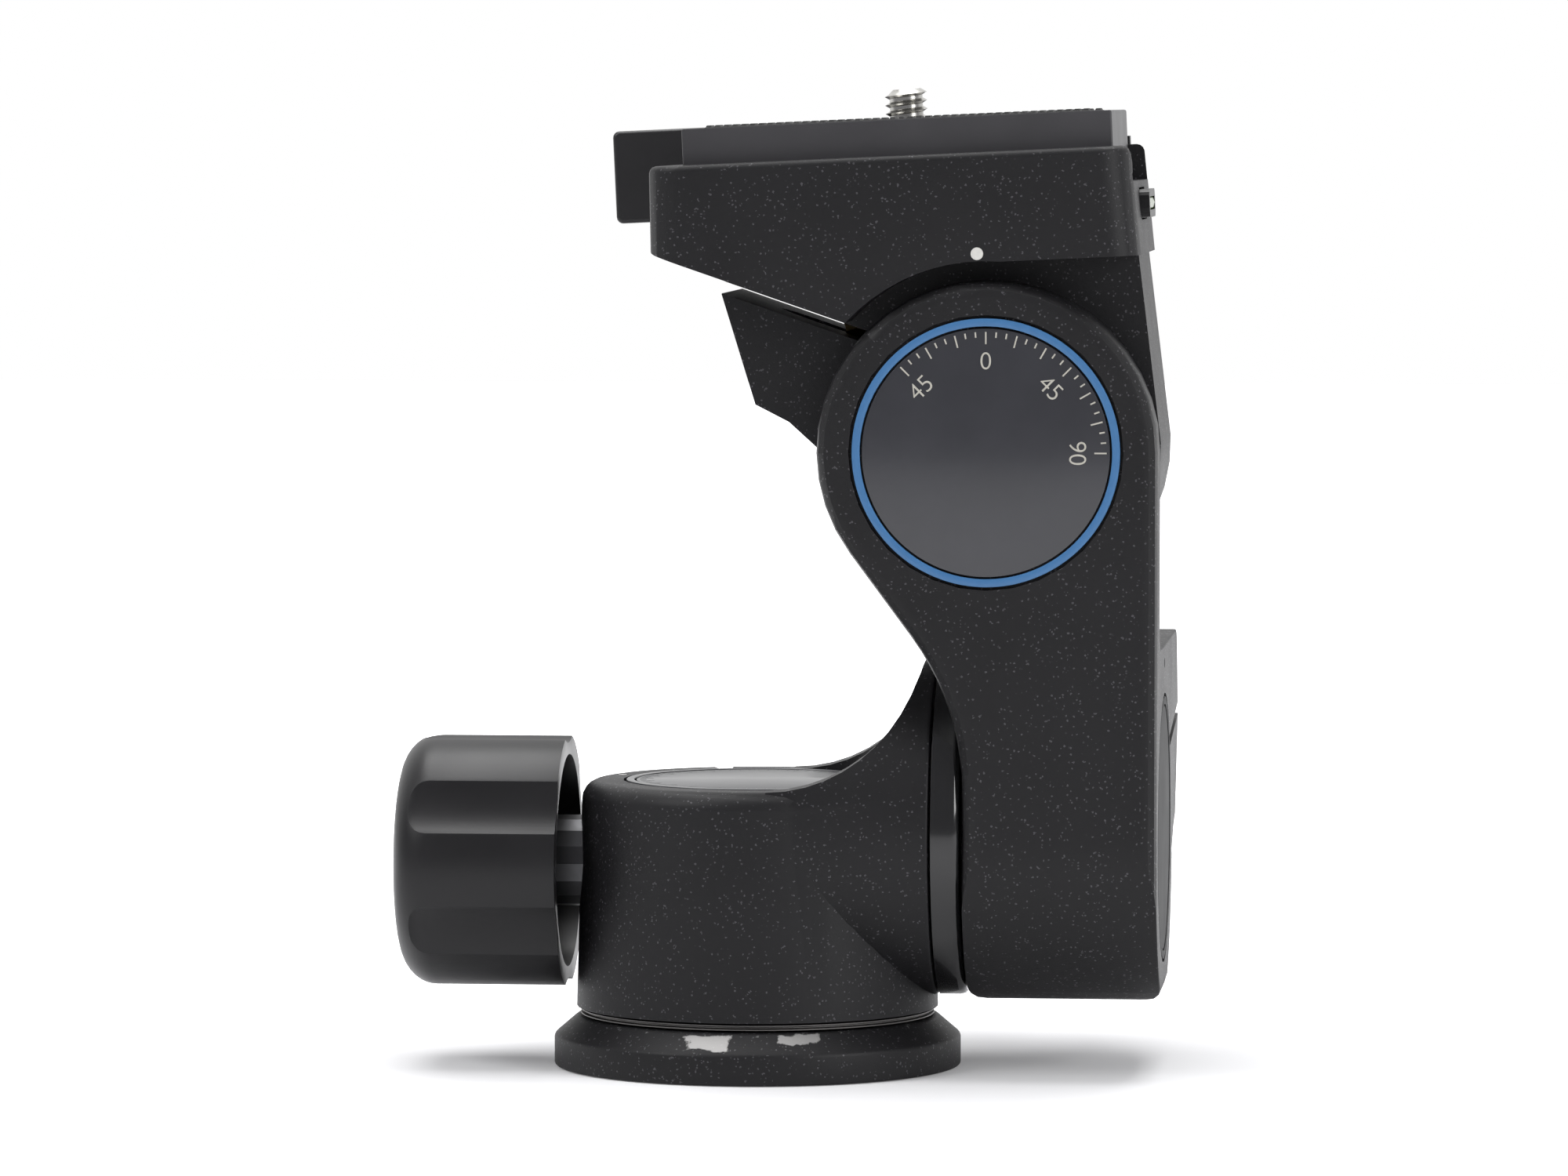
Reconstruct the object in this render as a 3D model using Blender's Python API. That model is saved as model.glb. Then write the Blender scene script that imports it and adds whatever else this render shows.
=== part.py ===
"""Three-way tripod head: pan base, lateral tilt, front tilt and a quick-release plate.

Metres, +Z up. The origin is on the pan axis, at the underside of the base. +X points to the
upright, and -Y is the side that carries the large dial.
"""

from math import acos, asin, atan2, cos, hypot, pi, radians, sin, sqrt

import bmesh
import bpy
from mathutils import Matrix

# Clearances
touch_gap = 0.0003
running_gap = 0.0005
cut_overrun = 0.002
weld_reach = 0.000005
round_profile_share = 0.5

# Faces round a full circle
large_circle = 48
drum_circle = 32
small_circle = 16
screw_circle = 10

# Main axes
tilt_axis_rise = 0.0573
knob_axis_height = 0.0305
rest_tilt = radians(-2.6)

# Base flange
base_radius = 0.0307
base_side_height = 0.0045
base_top_radius = 0.0272
base_height = 0.0075
base_edge_round = 0.0006
base_relief_inner = 0.0105
base_relief_outer = 0.0215
base_relief_depth = 0.0010

# Tripod socket, a steel bush with a three-eighths bore
socket_radius = 0.00476
bush_radius = 0.0070
bush_length = 0.0100
bush_mouth = 0.0007

# Pan spindle and what holds the housing down on it
spindle_radius = 0.0125
spindle_neck_radius = 0.0100
bearing_ring_radius = 0.0267
bearing_ring_height = 0.0008
bearing_groove_depth = 0.0005
bearing_groove_share = 0.34
retaining_ring_radius = 0.0163
retaining_ring_height = 0.0022
retaining_nut_radius = 0.0145
retaining_nut_height = 0.0020
nut_sides = 6

# Pan housing
housing_foot_radius = 0.0273
housing_draft = 0.0008
housing_top = 0.0430
housing_top_round = 0.0028
housing_shelf_depth = 0.0062
pan_dial_recess_depth = 0.0011
pan_notch_width = 0.0030
pan_notch_depth = 0.0006
pan_notch_turn = radians(108)
pan_dot_radius = 0.0008
pan_dot_depth = 0.0003
pan_dot_reach = 0.0224
pan_dot_turn = radians(162)

# Lateral arm of the housing; its foot gap is the step up from the housing's underside
arm_radius = 0.0254
arm_foot_gap = 0.0019
arm_end_step = 0.0004
arm_edge_round = 0.0006
saddle_radius = 0.0226
saddle_reach = 0.0035

# Scale dials
dial_radius = 0.0183
dial_thickness = 0.0008
dial_ring_width = 0.0012
dial_sink = 0.0001
dial_ring_proud = 0.0001
dial_hub_wall = 0.0030

# Lateral tilt drum, fixed to the arm
flange_width = 0.0043
flange_round = 0.0012
drum_radius = 0.0170
drum_bore_radius = 0.0085
drum_bore_wall = 0.0060
liner_wall = 0.0009
liner_slot_width = 0.0030
side_liner_slot_turn = radians(40)
tilt_liner_slot_turn = radians(128)
side_drum_inset = 0.0058
washer_radius = 0.0195
washer_thickness = 0.0017
end_screw_radius = 0.0030
end_screw_length = 0.0110
end_head_radius = 0.0056
end_head_height = 0.0022
end_socket_radius = 0.0022
end_socket_depth = 0.0014

# Fixing screws of the drums
side_fixings = 4
tilt_fixings = 3
fixing_inset = 0.0044
fixing_shank_radius = 0.0019
fixing_head_radius = 0.0034
fixing_thread_depth = 0.0046
fixing_head_height = 0.0018
tilt_fixing_ring = 0.0125
tilt_fixing_head_height = 0.0025
tilt_fixing_thread_depth = 0.0060

# Upright casting
head_offset = 0.0036
boss_step = 0.0002
boss_edge_round = 0.0025
plate_front = 0.0260
plate_thickness = 0.0100
head_radius = 0.0252
head_edge_round = 0.0030
waist_radius = 0.0380
waist_straight = 0.0154
web_round = 0.0040
upright_edge_round = 0.0012
clamp_roof = 0.0275
side_block_back = 0.0410
side_block_round = 0.0040
side_reach = 0.0480
side_dot_radius = 0.0008
side_dot_height = 0.0248

# Split clamp, the same section on both tilt axes; out is away from the axis, up is square to it
ring_radius = 0.0253
ear_top_out = 0.0390
ear_top_up = 0.0248
ear_foot_out = 0.0347
ear_foot_up = 0.0082
ear_hollow_out = 0.0298
ear_hollow_up = 0.0054
ear_root_out = 0.0251
ear_root_up = 0.0009
slit_width = 0.0018
slit_over_ear = 0.00105
slit_turn = radians(21.6)
bracket_shoulder = 0.0029
clamp_back = 0.0157
clamp_front = 0.0154
side_clamp_turn = radians(-15)

# Handle bores of the two clamps; the handles are not fitted
handle_bore_radius = 0.0041
insert_radius = 0.0056
insert_bore_radius = 0.0036
insert_length = 0.0090
insert_floor = 0.0150

# Platform, measured in its own level frame from the front-tilt axis
tray_left = 0.0495
tray_left_top = 0.0483
tray_right = 0.0254
tray_right_top = 0.0228
tray_side_wall = 0.0046
tray_top = 0.0442
tray_bottom = 0.0280
tray_corner_up = 0.0320
tray_chin_out = 0.0479
tray_over_slit = 0.0006
tray_arch_radius = 0.0282
tray_plan_round = 0.0050
tray_edge_round = 0.0010
tray_floor = 0.0388
tray_end_wall = 0.0437
plate_side_gap = 0.0004
rail_ridge = 0.0017
rail_middle = 0.0416
tilt_dot_radius = 0.0010
tilt_dot_depth = 0.0003
tilt_dot_up = 0.0293

# Quick-release plate
plate_left = 0.0433
plate_right = 0.0204
plate_half_width = 0.0210
plate_top = 0.0495
plate_edge_round = 0.0008
plate_neck = 0.0004
pad_length_inset = 0.0030
pad_width = 0.0058
pad_inset = 0.0018
pad_proud = 0.0005
pad_sink = 0.0008
pad_corner_round = 0.0010

# Camera screw, a quarter-inch thread
camera_screw_radius = 0.003175
camera_screw_proud = 0.0045
camera_screw_tip = 0.0006
camera_head_radius = 0.0075
camera_head_height = 0.0032
camera_washer_height = 0.0006
camera_washer_radius = 0.0068
camera_head_slot_width = 0.0014
camera_head_slot_depth = 0.0012

# Clamp jaw and its lever
jaw_left = 0.0260
jaw_right = 0.0190
jaw_travel = 0.0012
lever_pivot_out = 0.0150
lever_pivot_gap = 0.00265
lever_thickness = 0.0047
lever_bottom = 0.0363
lever_top = 0.0427
lever_hub_radius = 0.0030
lever_cam_offset = 0.0022
lever_tip = 0.0590
lever_tab_start = 0.0440
lever_tab_bottom = 0.0355
lever_tab_top = 0.0497
lever_round = 0.0010
lever_tab_round = 0.0010
lever_edge_round = 0.0006
lug_left = 0.0095
lug_right = 0.0205
lug_reach = 0.0070
lug_thickness = 0.0025
lug_round = 0.0045
pin_radius = 0.0016

# Spirit level in the right-hand end of the tray
vial_radius = 0.0017
vial_half_length = 0.0065
vial_middle = 0.0354
vial_sink_share = 1.0
bezel_height = 0.0042
bezel_corner_round = 0.0014
bezel_half_length = 0.0085
bezel_proud = 0.0006
bezel_depth = 0.0044
bezel_lean = 0.0012

# Pan lock: knob, screw and shoe
knob_radius = 0.01905
knob_stand_off = 0.0014
knob_length = 0.0259
knob_dome = 0.0010
knob_dome_shares = (0, 0.4, 0.7)
knob_corner_round = 0.0030
knob_rim_round = 0.0008
knob_wall = 0.0030
knob_end_wall = 0.0055
knob_flutes = 6
knob_flute_radius = 0.0140
knob_flute_depth = 0.0012
knob_flute_inset = 0.0024
hub_radius = 0.0069
hub_seat_depth = 0.0033
hub_end_inset = 0.0033
lock_screw_radius = 0.0040
shoe_length = 0.0040

# Worked out from the sizes above
housing_top_radius = housing_foot_radius - housing_draft
flange_radius = arm_radius
fixing_ring = arm_radius - fixing_inset
boss_radius = arm_radius + boss_step
arm_end = housing_foot_radius + arm_end_step
flange_left = arm_end + touch_gap
flange_right = flange_left + flange_width
upright_left = flange_right + touch_gap
tilt_axis_reach = upright_left + head_offset
upright_right = tilt_axis_reach + head_radius
knob_inner = housing_foot_radius + knob_stand_off
knob_outer = knob_inner + knob_length
hub_seat = housing_foot_radius - hub_seat_depth
hub_end = knob_outer - hub_end_inset
spindle_foot = base_height + touch_gap
housing_bottom = spindle_foot + bearing_ring_height + touch_gap
side_axis_height = housing_bottom + arm_foot_gap + arm_radius
tilt_axis_height = side_axis_height + tilt_axis_rise
housing_shelf = housing_top - housing_shelf_depth
pan_recess_floor = housing_top - pan_dial_recess_depth
pan_bore_radius = spindle_radius + running_gap
shelf_bore_radius = retaining_ring_radius + running_gap
dial_outer_radius = dial_radius + touch_gap + dial_ring_width
dial_recess_radius = dial_outer_radius + running_gap
retaining_ring_low = housing_shelf + touch_gap
spindle_shoulder = housing_shelf
spindle_top = housing_top - dial_thickness - touch_gap
nut_low = retaining_ring_low + retaining_ring_height + touch_gap
saddle_height = housing_top + saddle_radius
fixing_seat = flange_right - touch_gap - fixing_head_height
fixing_length = flange_right - touch_gap - arm_end + fixing_thread_depth
side_drum_end = upright_right - side_drum_inset
side_clamp_middle = (upright_left + side_drum_end) / 2
liner_inner = drum_radius + touch_gap
liner_outer = liner_inner + liner_wall
clamp_bore_radius = liner_outer + touch_gap
washer_left = side_drum_end + touch_gap
side_dial_left = upright_right - dial_sink - dial_thickness
plate_back = plate_front - plate_thickness
tilt_drum_front = -plate_back + touch_gap
tilt_drum_end = clamp_back + touch_gap
tilt_dial_back = -plate_front + dial_sink + dial_thickness
dial_floor = -tilt_dial_back - touch_gap
tilt_fixing_seat = dial_floor - touch_gap - tilt_fixing_head_height
tilt_fixing_tip = -tilt_drum_front - tilt_fixing_thread_depth
tray_half_width = plate_half_width + plate_side_gap
tray_half_depth = tray_half_width + tray_side_wall
lever_front = tray_half_depth + touch_gap
lever_back = lever_front + lever_thickness
lever_pivot_depth = tray_half_depth + lever_pivot_gap
lug_depth = tray_half_depth + lug_reach
plate_bottom = tray_floor + touch_gap
plate_middle = (plate_right - plate_left) / 2
head_bottom = plate_bottom + touch_gap
head_top = head_bottom + camera_head_height
washer_top = head_top + touch_gap + camera_washer_height
jaw_back = lever_pivot_depth - lever_hub_radius - lever_cam_offset - touch_gap
jaw_space_back = jaw_back + jaw_travel + touch_gap
window_front = jaw_back - touch_gap
lug_root = tray_half_depth - tray_edge_round
bracket_top = (tray_bottom + tray_floor) / 2
bezel_face = tray_right - bezel_lean + bezel_proud
bezel_back = bezel_face - bezel_depth
shoe_back = spindle_radius + touch_gap + shoe_length
bezel_top = vial_middle + bezel_height / 2
bezel_bottom = vial_middle - bezel_height / 2
ear_turn = atan2(ear_top_up - ear_foot_up, ear_top_out - ear_foot_out)
ear_top_rise = ear_top_up * cos(slit_turn) - ear_top_out * sin(slit_turn)
ear_top_run = ear_top_out * cos(slit_turn) + ear_top_up * sin(slit_turn)
slit_rise = ear_top_rise + slit_over_ear
slit_start = sqrt(clamp_bore_radius ** 2 - slit_rise ** 2) / 2
slope_rise = slit_rise + slit_width / 2 + tray_over_slit
tray_chin_up = (slope_rise + tray_chin_out * sin(slit_turn)) / cos(slit_turn)


def clear_scene():
    """Start from an empty file."""
    for thing in list(bpy.data.objects):
        bpy.data.objects.remove(thing)


def finish_look(name, colour, roughness, metallic):
    """One Principled material, as the part's own paint, metal or rubber."""
    look = bpy.data.materials.new(name)
    look.use_nodes = True
    shader = look.node_tree.nodes["Principled BSDF"]
    shader.inputs["Base Color"].default_value = (*colour, 1)
    shader.inputs["Roughness"].default_value = roughness
    shader.inputs["Metallic"].default_value = metallic
    return look


def casting_paint(name):
    return finish_look(name, (0.028, 0.028, 0.030), 0.42, 0.0)


def gloss_black(name):
    return finish_look(name, (0.012, 0.012, 0.013), 0.12, 0.0)


def black_plastic(name):
    return finish_look(name, (0.018, 0.018, 0.019), 0.30, 0.0)


def bright_steel(name):
    return finish_look(name, (0.62, 0.61, 0.58), 0.25, 1.0)


def dark_steel(name):
    return finish_look(name, (0.10, 0.10, 0.11), 0.35, 1.0)


def brass(name):
    return finish_look(name, (0.70, 0.52, 0.24), 0.30, 1.0)


def pale_plastic(name):
    return finish_look(name, (0.62, 0.60, 0.54), 0.45, 0.0)


def black_rubber(name):
    return finish_look(name, (0.016, 0.016, 0.016), 0.75, 0.0)


def vial_glass(name):
    return finish_look(name, (0.55, 0.75, 0.12), 0.08, 0.0)


def dial_blue(name):
    return finish_look(name, (0.035, 0.16, 0.42), 0.30, 0.0)


def frame_at(name, parent, place, turn=(0, 0, 0)):
    """An empty on a joint's axis."""
    axis = bpy.data.objects.new(name, None)
    bpy.context.collection.objects.link(axis)
    axis.parent = parent
    axis.location = place
    axis.rotation_euler = turn
    return axis


def solid(name, shape):
    """Make a named object from a closed bmesh."""
    bmesh.ops.remove_doubles(shape, verts=shape.verts, dist=1e-7)
    bmesh.ops.recalc_face_normals(shape, faces=shape.faces)
    mesh = bpy.data.meshes.new(name)
    shape.to_mesh(mesh)
    shape.free()
    piece = bpy.data.objects.new(name, mesh)
    bpy.context.collection.objects.link(piece)
    return piece


def arc(centre, radius, start, end, steps):
    """Points of an arc, from one angle to another."""
    across, up = centre
    turns = [start + (end - start) * step / steps for step in range(steps + 1)]
    return [(across + radius * cos(turn), up + radius * sin(turn)) for turn in turns]


def rounded_box(left, right, low, high, radius, steps=4):
    """Outline of a rectangle with round corners."""
    corners = [(right - radius, high - radius, 0), (left + radius, high - radius, pi / 2),
               (left + radius, low + radius, pi), (right - radius, low + radius, 3 * pi / 2)]
    points = []
    for across, up, start in corners:
        points += arc((across, up), radius, start, start + pi / 2, steps)
    return points


def prism(name, outline, low, high, along="Z", low_round=0, high_round=0):
    """Extrude a closed outline along an axis, with rounded end edges if asked.

    The outline is in X and Y for Z, in X and Z for Y, and in Y and Z for X.
    """
    places = {"Z": lambda u, v, w: (u, v, w),
              "Y": lambda u, v, w: (u, w, v),
              "X": lambda u, v, w: (w, u, v)}
    place = places[along]
    shape = bmesh.new()
    corners = [shape.verts.new(place(u, v, low)) for u, v in outline]
    face = shape.faces.new(corners)
    grown = bmesh.ops.extrude_face_region(shape, geom=[face])
    far_corners = [part for part in grown["geom"] if isinstance(part, bmesh.types.BMVert)]
    bmesh.ops.translate(shape, verts=far_corners, vec=place(0, 0, high - low))
    bmesh.ops.recalc_face_normals(shape, faces=shape.faces)
    axis = "XYZ".index(along)
    for level, radius in ((low, low_round), (high, high_round)):
        if radius:
            rim = [edge for edge in shape.edges
                   if all(abs(vert.co[axis] - level) < touch_gap / 2 for vert in edge.verts)]
            bmesh.ops.bevel(shape, geom=rim, offset=radius, segments=3, profile=round_profile_share,
                            affect="EDGES", clamp_overlap=True)
    return solid(name, shape)


def turned(name, profile, circle):
    """Spin a closed profile of radius and height round Z."""
    shape = bmesh.new()
    corners = [shape.verts.new((radius, 0, height)) for radius, height in profile]
    ends = zip(corners, corners[1:] + corners[:1])
    edges = [shape.edges.new(pair) for pair in ends if pair[0].co.x or pair[1].co.x]
    bmesh.ops.spin(shape, geom=corners + edges, axis=(0, 0, 1), angle=2 * pi, steps=circle,
                   use_merge=True)
    return solid(name, shape)


def rod(name, radius, low, high, circle):
    """A plain cylinder on Z."""
    return turned(name, [(0, high), (radius, high), (radius, low), (0, low)], circle)


def tube(name, outer, inner, low, high, circle):
    """A plain ring on Z."""
    return turned(name, [(inner, high), (outer, high), (outer, low), (inner, low)], circle)


def put(piece, parent, place=(0, 0, 0), along="Z", turn=0):
    """Hang a piece on its frame, with its own Z along one of the frame's axes."""
    turns = {"X": (0, pi / 2, 0), "-X": (0, -pi / 2, 0), "Y": (-pi / 2, 0, 0),
             "-Y": (pi / 2, 0, 0), "Z": (0, 0, turn)}
    piece.parent = parent
    piece.location = place
    piece.rotation_euler = turns[along]
    return piece


def weld(piece):
    """Close the hairline seams that a cut can leave between coincident corners."""
    shape = bmesh.new()
    shape.from_mesh(piece.data)
    bmesh.ops.remove_doubles(shape, verts=shape.verts, dist=weld_reach)
    bmesh.ops.dissolve_degenerate(shape, edges=shape.edges, dist=weld_reach)
    stray = [edge for edge in shape.edges if not edge.link_faces]
    bmesh.ops.delete(shape, geom=stray, context="EDGES")
    shape.to_mesh(piece.data)
    shape.free()


def combine(target, tool, operation):
    """Join, cut or intersect the target with a tool, and drop the tool."""
    bpy.context.view_layer.update()
    step = target.modifiers.new("shape", "BOOLEAN")
    step.operation = operation
    step.object = tool
    step.solver = "EXACT"
    shaped = bpy.data.meshes.new_from_object(
        target.evaluated_get(bpy.context.evaluated_depsgraph_get()))
    target.modifiers.clear()
    target.data = shaped
    bpy.data.objects.remove(tool)
    weld(target)


def cut(target, tool):
    combine(target, tool, "DIFFERENCE")


def join(target, tool):
    combine(target, tool, "UNION")


def keep_common(target, tool):
    combine(target, tool, "INTERSECT")


def dress(piece, look):
    """Give a piece its material, and shade its round faces smooth."""
    piece.data.materials.clear()
    piece.data.materials.append(look(piece.name + "_look"))
    piece.data.shade_smooth()
    piece.data.set_sharp_from_angle(angle=radians(32))
    return piece


def make_base(frame):
    """The flange that screws to the tripod, with the spindle that the head turns on."""
    bush_bore = bush_radius + touch_gap
    edge = base_edge_round
    profile = [(bush_bore, base_height), (base_top_radius, base_height)]
    profile += arc((base_radius - edge, base_side_height - edge), edge, pi / 4, 0, 2)
    profile += arc((base_radius - edge, edge), edge, 0, -pi / 2, 3)
    profile += [(base_relief_outer, 0), (base_relief_outer, base_relief_depth),
                (base_relief_inner, base_relief_depth), (base_relief_inner, 0), (bush_bore, 0)]
    flange = turned("base_flange", profile, large_circle)
    dress(put(flange, frame), casting_paint)

    bush_top = bush_mouth + bush_length
    bush = tube("tripod_bush", bush_radius, socket_radius, bush_mouth, bush_top, small_circle)
    dress(put(bush, frame), bright_steel)

    pocket_top = bush_top + touch_gap
    profile = [(0, spindle_top), (spindle_neck_radius, spindle_top),
               (spindle_neck_radius, spindle_shoulder), (spindle_radius, spindle_shoulder),
               (spindle_radius, spindle_foot), (bush_bore, spindle_foot),
               (bush_bore, pocket_top), (0, pocket_top)]
    dress(put(turned("pan_spindle", profile, drum_circle), frame), bright_steel)

    middle = spindle_foot + bearing_ring_height / 2
    groove = bearing_ring_height * bearing_groove_share / 2
    ring_top = spindle_foot + bearing_ring_height
    groove_floor = bearing_ring_radius - bearing_groove_depth
    profile = [(pan_bore_radius, ring_top), (bearing_ring_radius, ring_top),
               (bearing_ring_radius, middle + groove), (groove_floor, middle),
               (bearing_ring_radius, middle - groove), (bearing_ring_radius, spindle_foot),
               (pan_bore_radius, spindle_foot)]
    dress(put(turned("pan_bearing_ring", profile, large_circle), frame), bright_steel)

    neck_bore = spindle_neck_radius + touch_gap
    ring = tube("pan_retaining_ring", retaining_ring_radius, neck_bore, retaining_ring_low,
                retaining_ring_low + retaining_ring_height, drum_circle)
    dress(put(ring, frame), dark_steel)

    corners = arc((0, 0), retaining_nut_radius, 0, 2 * pi, nut_sides)[:-1]
    nut = prism("pan_retaining_nut", corners, nut_low, nut_low + retaining_nut_height)
    hole = rod("nut_hole", neck_bore, nut_low - cut_overrun,
               nut_low + retaining_nut_height + cut_overrun, drum_circle)
    cut(put(nut, frame), put(hole, frame))
    dress(nut, dark_steel)

    make_dial("pan", frame, (0, 0, housing_top - dial_thickness), "Z", 0)


def make_dial(side, frame, back, along, hub_length):
    """A scale disc with its thin outer ring; a hub behind it reaches what carries it."""
    profile = [(0, dial_thickness), (dial_radius, dial_thickness), (dial_radius, 0)]
    if hub_length:
        hub_outer = end_head_radius + running_gap + dial_hub_wall
        profile += [(hub_outer, 0), (hub_outer, -hub_length),
                    (hub_outer - dial_hub_wall, -hub_length), (hub_outer - dial_hub_wall, 0)]
    profile += [(0, 0)]
    disc = turned(side + "_scale_disc", profile, drum_circle)
    dress(put(disc, frame, back, along), gloss_black)
    ring = tube(side + "_scale_ring", dial_outer_radius, dial_radius + touch_gap, 0,
                dial_thickness + dial_ring_proud, drum_circle)
    dress(put(ring, frame, back, along), dial_blue)


def fixing_screws(name, count, head_height, length, ring, frame, top, along):
    """Cap screws in a ring round an axis, each its own object, heads outward."""
    profile = [(0, 0), (fixing_head_radius, 0), (fixing_head_radius, -head_height),
               (fixing_shank_radius, -head_height), (fixing_shank_radius, -length),
               (0, -length)]
    for index, (across, up) in enumerate(ring_places(count, ring)):
        screw = turned(f"{name}_{index + 1}", profile, screw_circle)
        screw.data.transform(Matrix.Translation((across, up, 0)))
        dress(put(screw, frame, top, along), dark_steel)


def ring_places(count, ring):
    """Places in a ring, the first at an eighth of a turn."""
    turns = [pi / 4 + 2 * pi * index / count for index in range(count)]
    return [(ring * cos(turn), ring * sin(turn)) for turn in turns]


def cut_ring(body, frame, place, along, count, ring, radius, low, high):
    """Cut equal round holes in a ring round an axis."""
    for across, up in ring_places(count, ring):
        hole = rod("hole", radius, low, high, small_circle)
        hole.data.transform(Matrix.Translation((across, up, 0)))
        cut(body, put(hole, frame, place, along))


def make_housing(frame, side_frame):
    """The casting that pans: a round housing with the lateral arm growing out of it."""
    profile = [(0, housing_top)]
    profile += arc((housing_top_radius - housing_top_round, housing_top - housing_top_round),
                   housing_top_round, pi / 2, 0, 5)
    profile += [(housing_foot_radius, housing_bottom), (0, housing_bottom)]
    body = put(turned("pan_body", profile, large_circle), frame)

    arm_profile = [(0, arm_end)]
    arm_profile += arc((arm_radius - arm_edge_round, arm_end - arm_edge_round),
                       arm_edge_round, pi / 2, 0, 2)
    arm_profile += [(arm_radius, saddle_reach), (0, saddle_reach)]
    arm = put(turned("arm", arm_profile, large_circle), side_frame, along="X")
    saddle = rod("saddle", saddle_radius, -2 * arm_radius, 2 * arm_radius, large_circle)
    cut(arm, put(saddle, frame, (saddle_reach, 0, saddle_height), "Y"))
    join(body, arm)

    recess = rod("recess", dial_recess_radius, pan_recess_floor, saddle_height, drum_circle)
    cut(body, put(recess, frame))
    shelf = rod("shelf", shelf_bore_radius, housing_shelf, saddle_height, drum_circle)
    cut(body, put(shelf, frame))
    bore = rod("bore", pan_bore_radius, 0, saddle_height, drum_circle)
    cut(body, put(bore, frame))

    lock_bore = rod("lock_bore", lock_screw_radius + touch_gap, spindle_radius - cut_overrun,
                    housing_foot_radius + cut_overrun, small_circle)
    cut(body, put(lock_bore, frame, (0, 0, knob_axis_height), "-X"))
    hub_pocket = rod("hub_pocket", hub_radius + running_gap, hub_seat,
                     housing_foot_radius + cut_overrun, small_circle)
    cut(body, put(hub_pocket, frame, (0, 0, knob_axis_height), "-X"))

    cut_ring(body, side_frame, (0, 0, 0), "X", side_fixings, fixing_ring,
             fixing_shank_radius + touch_gap, arm_end - fixing_thread_depth - touch_gap,
             arm_end + cut_overrun)

    notch_reach = (dial_recess_radius + housing_top_radius) / 2
    notch = prism("notch", rounded_box(-notch_reach, notch_reach, -pan_notch_width / 2,
                                       pan_notch_width / 2, pan_notch_depth),
                  housing_top - pan_notch_depth, housing_top + cut_overrun)
    notch_place = (notch_reach * cos(pan_notch_turn), notch_reach * sin(pan_notch_turn), 0)
    for corner in notch.data.vertices:
        corner.co.x *= (housing_top_radius - dial_recess_radius) / notch_reach
    cut(body, put(notch, frame, notch_place, "Z", pan_notch_turn))

    dimple = rod("dimple", pan_dot_radius, housing_top - pan_dot_depth,
                 housing_top + cut_overrun, small_circle)
    dimple_place = (pan_dot_reach * cos(pan_dot_turn), pan_dot_reach * sin(pan_dot_turn), 0)
    cut(body, put(dimple, frame, dimple_place))
    dress(body, casting_paint)


def make_side_drum(frame):
    """The flanged drum on the arm, which the upright clamps and tilts round."""
    screw_hole = end_screw_radius + touch_gap
    edge = flange_round
    profile = [(screw_hole, side_drum_end), (drum_radius, side_drum_end),
               (drum_radius, flange_right)]
    profile += arc((flange_radius - edge, flange_right - edge), edge, pi / 2, 0, 3)
    profile += [(flange_radius, flange_left), (drum_bore_radius, flange_left),
                (drum_bore_radius, side_drum_end - drum_bore_wall),
                (screw_hole, side_drum_end - drum_bore_wall)]
    drum = put(turned("side_tilt_drum", profile, drum_circle), frame, along="X")
    for radius, low in ((fixing_shank_radius + touch_gap, arm_end),
                        (fixing_head_radius + touch_gap, fixing_seat - touch_gap)):
        cut_ring(drum, frame, (0, 0, 0), "X", side_fixings, fixing_ring, radius, low,
                 flange_right + cut_overrun)
    dress(drum, gloss_black)

    fixing_screws("side_drum_screw", side_fixings, fixing_head_height, fixing_length,
                  fixing_ring, frame, (fixing_seat + fixing_head_height, 0, 0), "X")
    make_end_washer("side", frame, washer_left, "X")
    hub_length = side_dial_left - washer_left - washer_thickness - touch_gap
    make_dial("side", frame, (side_dial_left, 0, 0), "X", hub_length)


def make_end_washer(side, frame, start, along):
    """The washer and screw that hold a clamp on its drum."""
    place = (start, 0, 0) if along == "X" else (0, start, 0)
    washer = tube(side + "_end_washer", washer_radius, end_screw_radius + touch_gap, 0,
                  washer_thickness, drum_circle)
    dress(put(washer, frame, place, along), dark_steel)
    head_seat = washer_thickness + touch_gap
    head_top = head_seat + end_head_height
    socket_floor = head_top - end_socket_depth
    profile = [(0, socket_floor), (end_socket_radius, socket_floor),
               (end_socket_radius, head_top), (end_head_radius, head_top),
               (end_head_radius, head_seat), (end_screw_radius, head_seat),
               (end_screw_radius, head_seat - end_screw_length),
               (0, head_seat - end_screw_length)]
    screw = turned(side + "_end_screw", profile, small_circle)
    dress(put(screw, frame, place, along), bright_steel)


def make_liner(name, frame, low, high, along, slot_turn):
    """The split plastic liner between a drum and its clamp."""
    liner = put(tube(name, liner_outer, liner_inner, low, high, drum_circle), frame,
                along=along)
    slot = prism("slot", rounded_box(0, 2 * liner_outer, -liner_slot_width / 2,
                                     liner_slot_width / 2, touch_gap),
                 low - cut_overrun, high + cut_overrun)
    for corner in slot.data.vertices:
        across = corner.co.x
        corner.co.x = across * cos(slot_turn) - corner.co.y * sin(slot_turn)
        corner.co.y = across * sin(slot_turn) + corner.co.y * cos(slot_turn)
    cut(liner, put(slot, frame, along=along))
    dress(liner, pale_plastic)


def clamp_point(out, up, turn=0):
    """A point of the clamp section, turned round the axis."""
    return out * cos(turn) - up * sin(turn), out * sin(turn) + up * cos(turn)


def clamp_ear(turn=0):
    """The clamp's ear, from its root on the ring to its top."""
    points = [(ear_root_out, ear_root_up), (ear_hollow_out, ear_hollow_up),
              (ear_foot_out, ear_foot_up), (ear_top_out, ear_top_up)]
    return [clamp_point(out, up, turn) for out, up in points]


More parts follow.
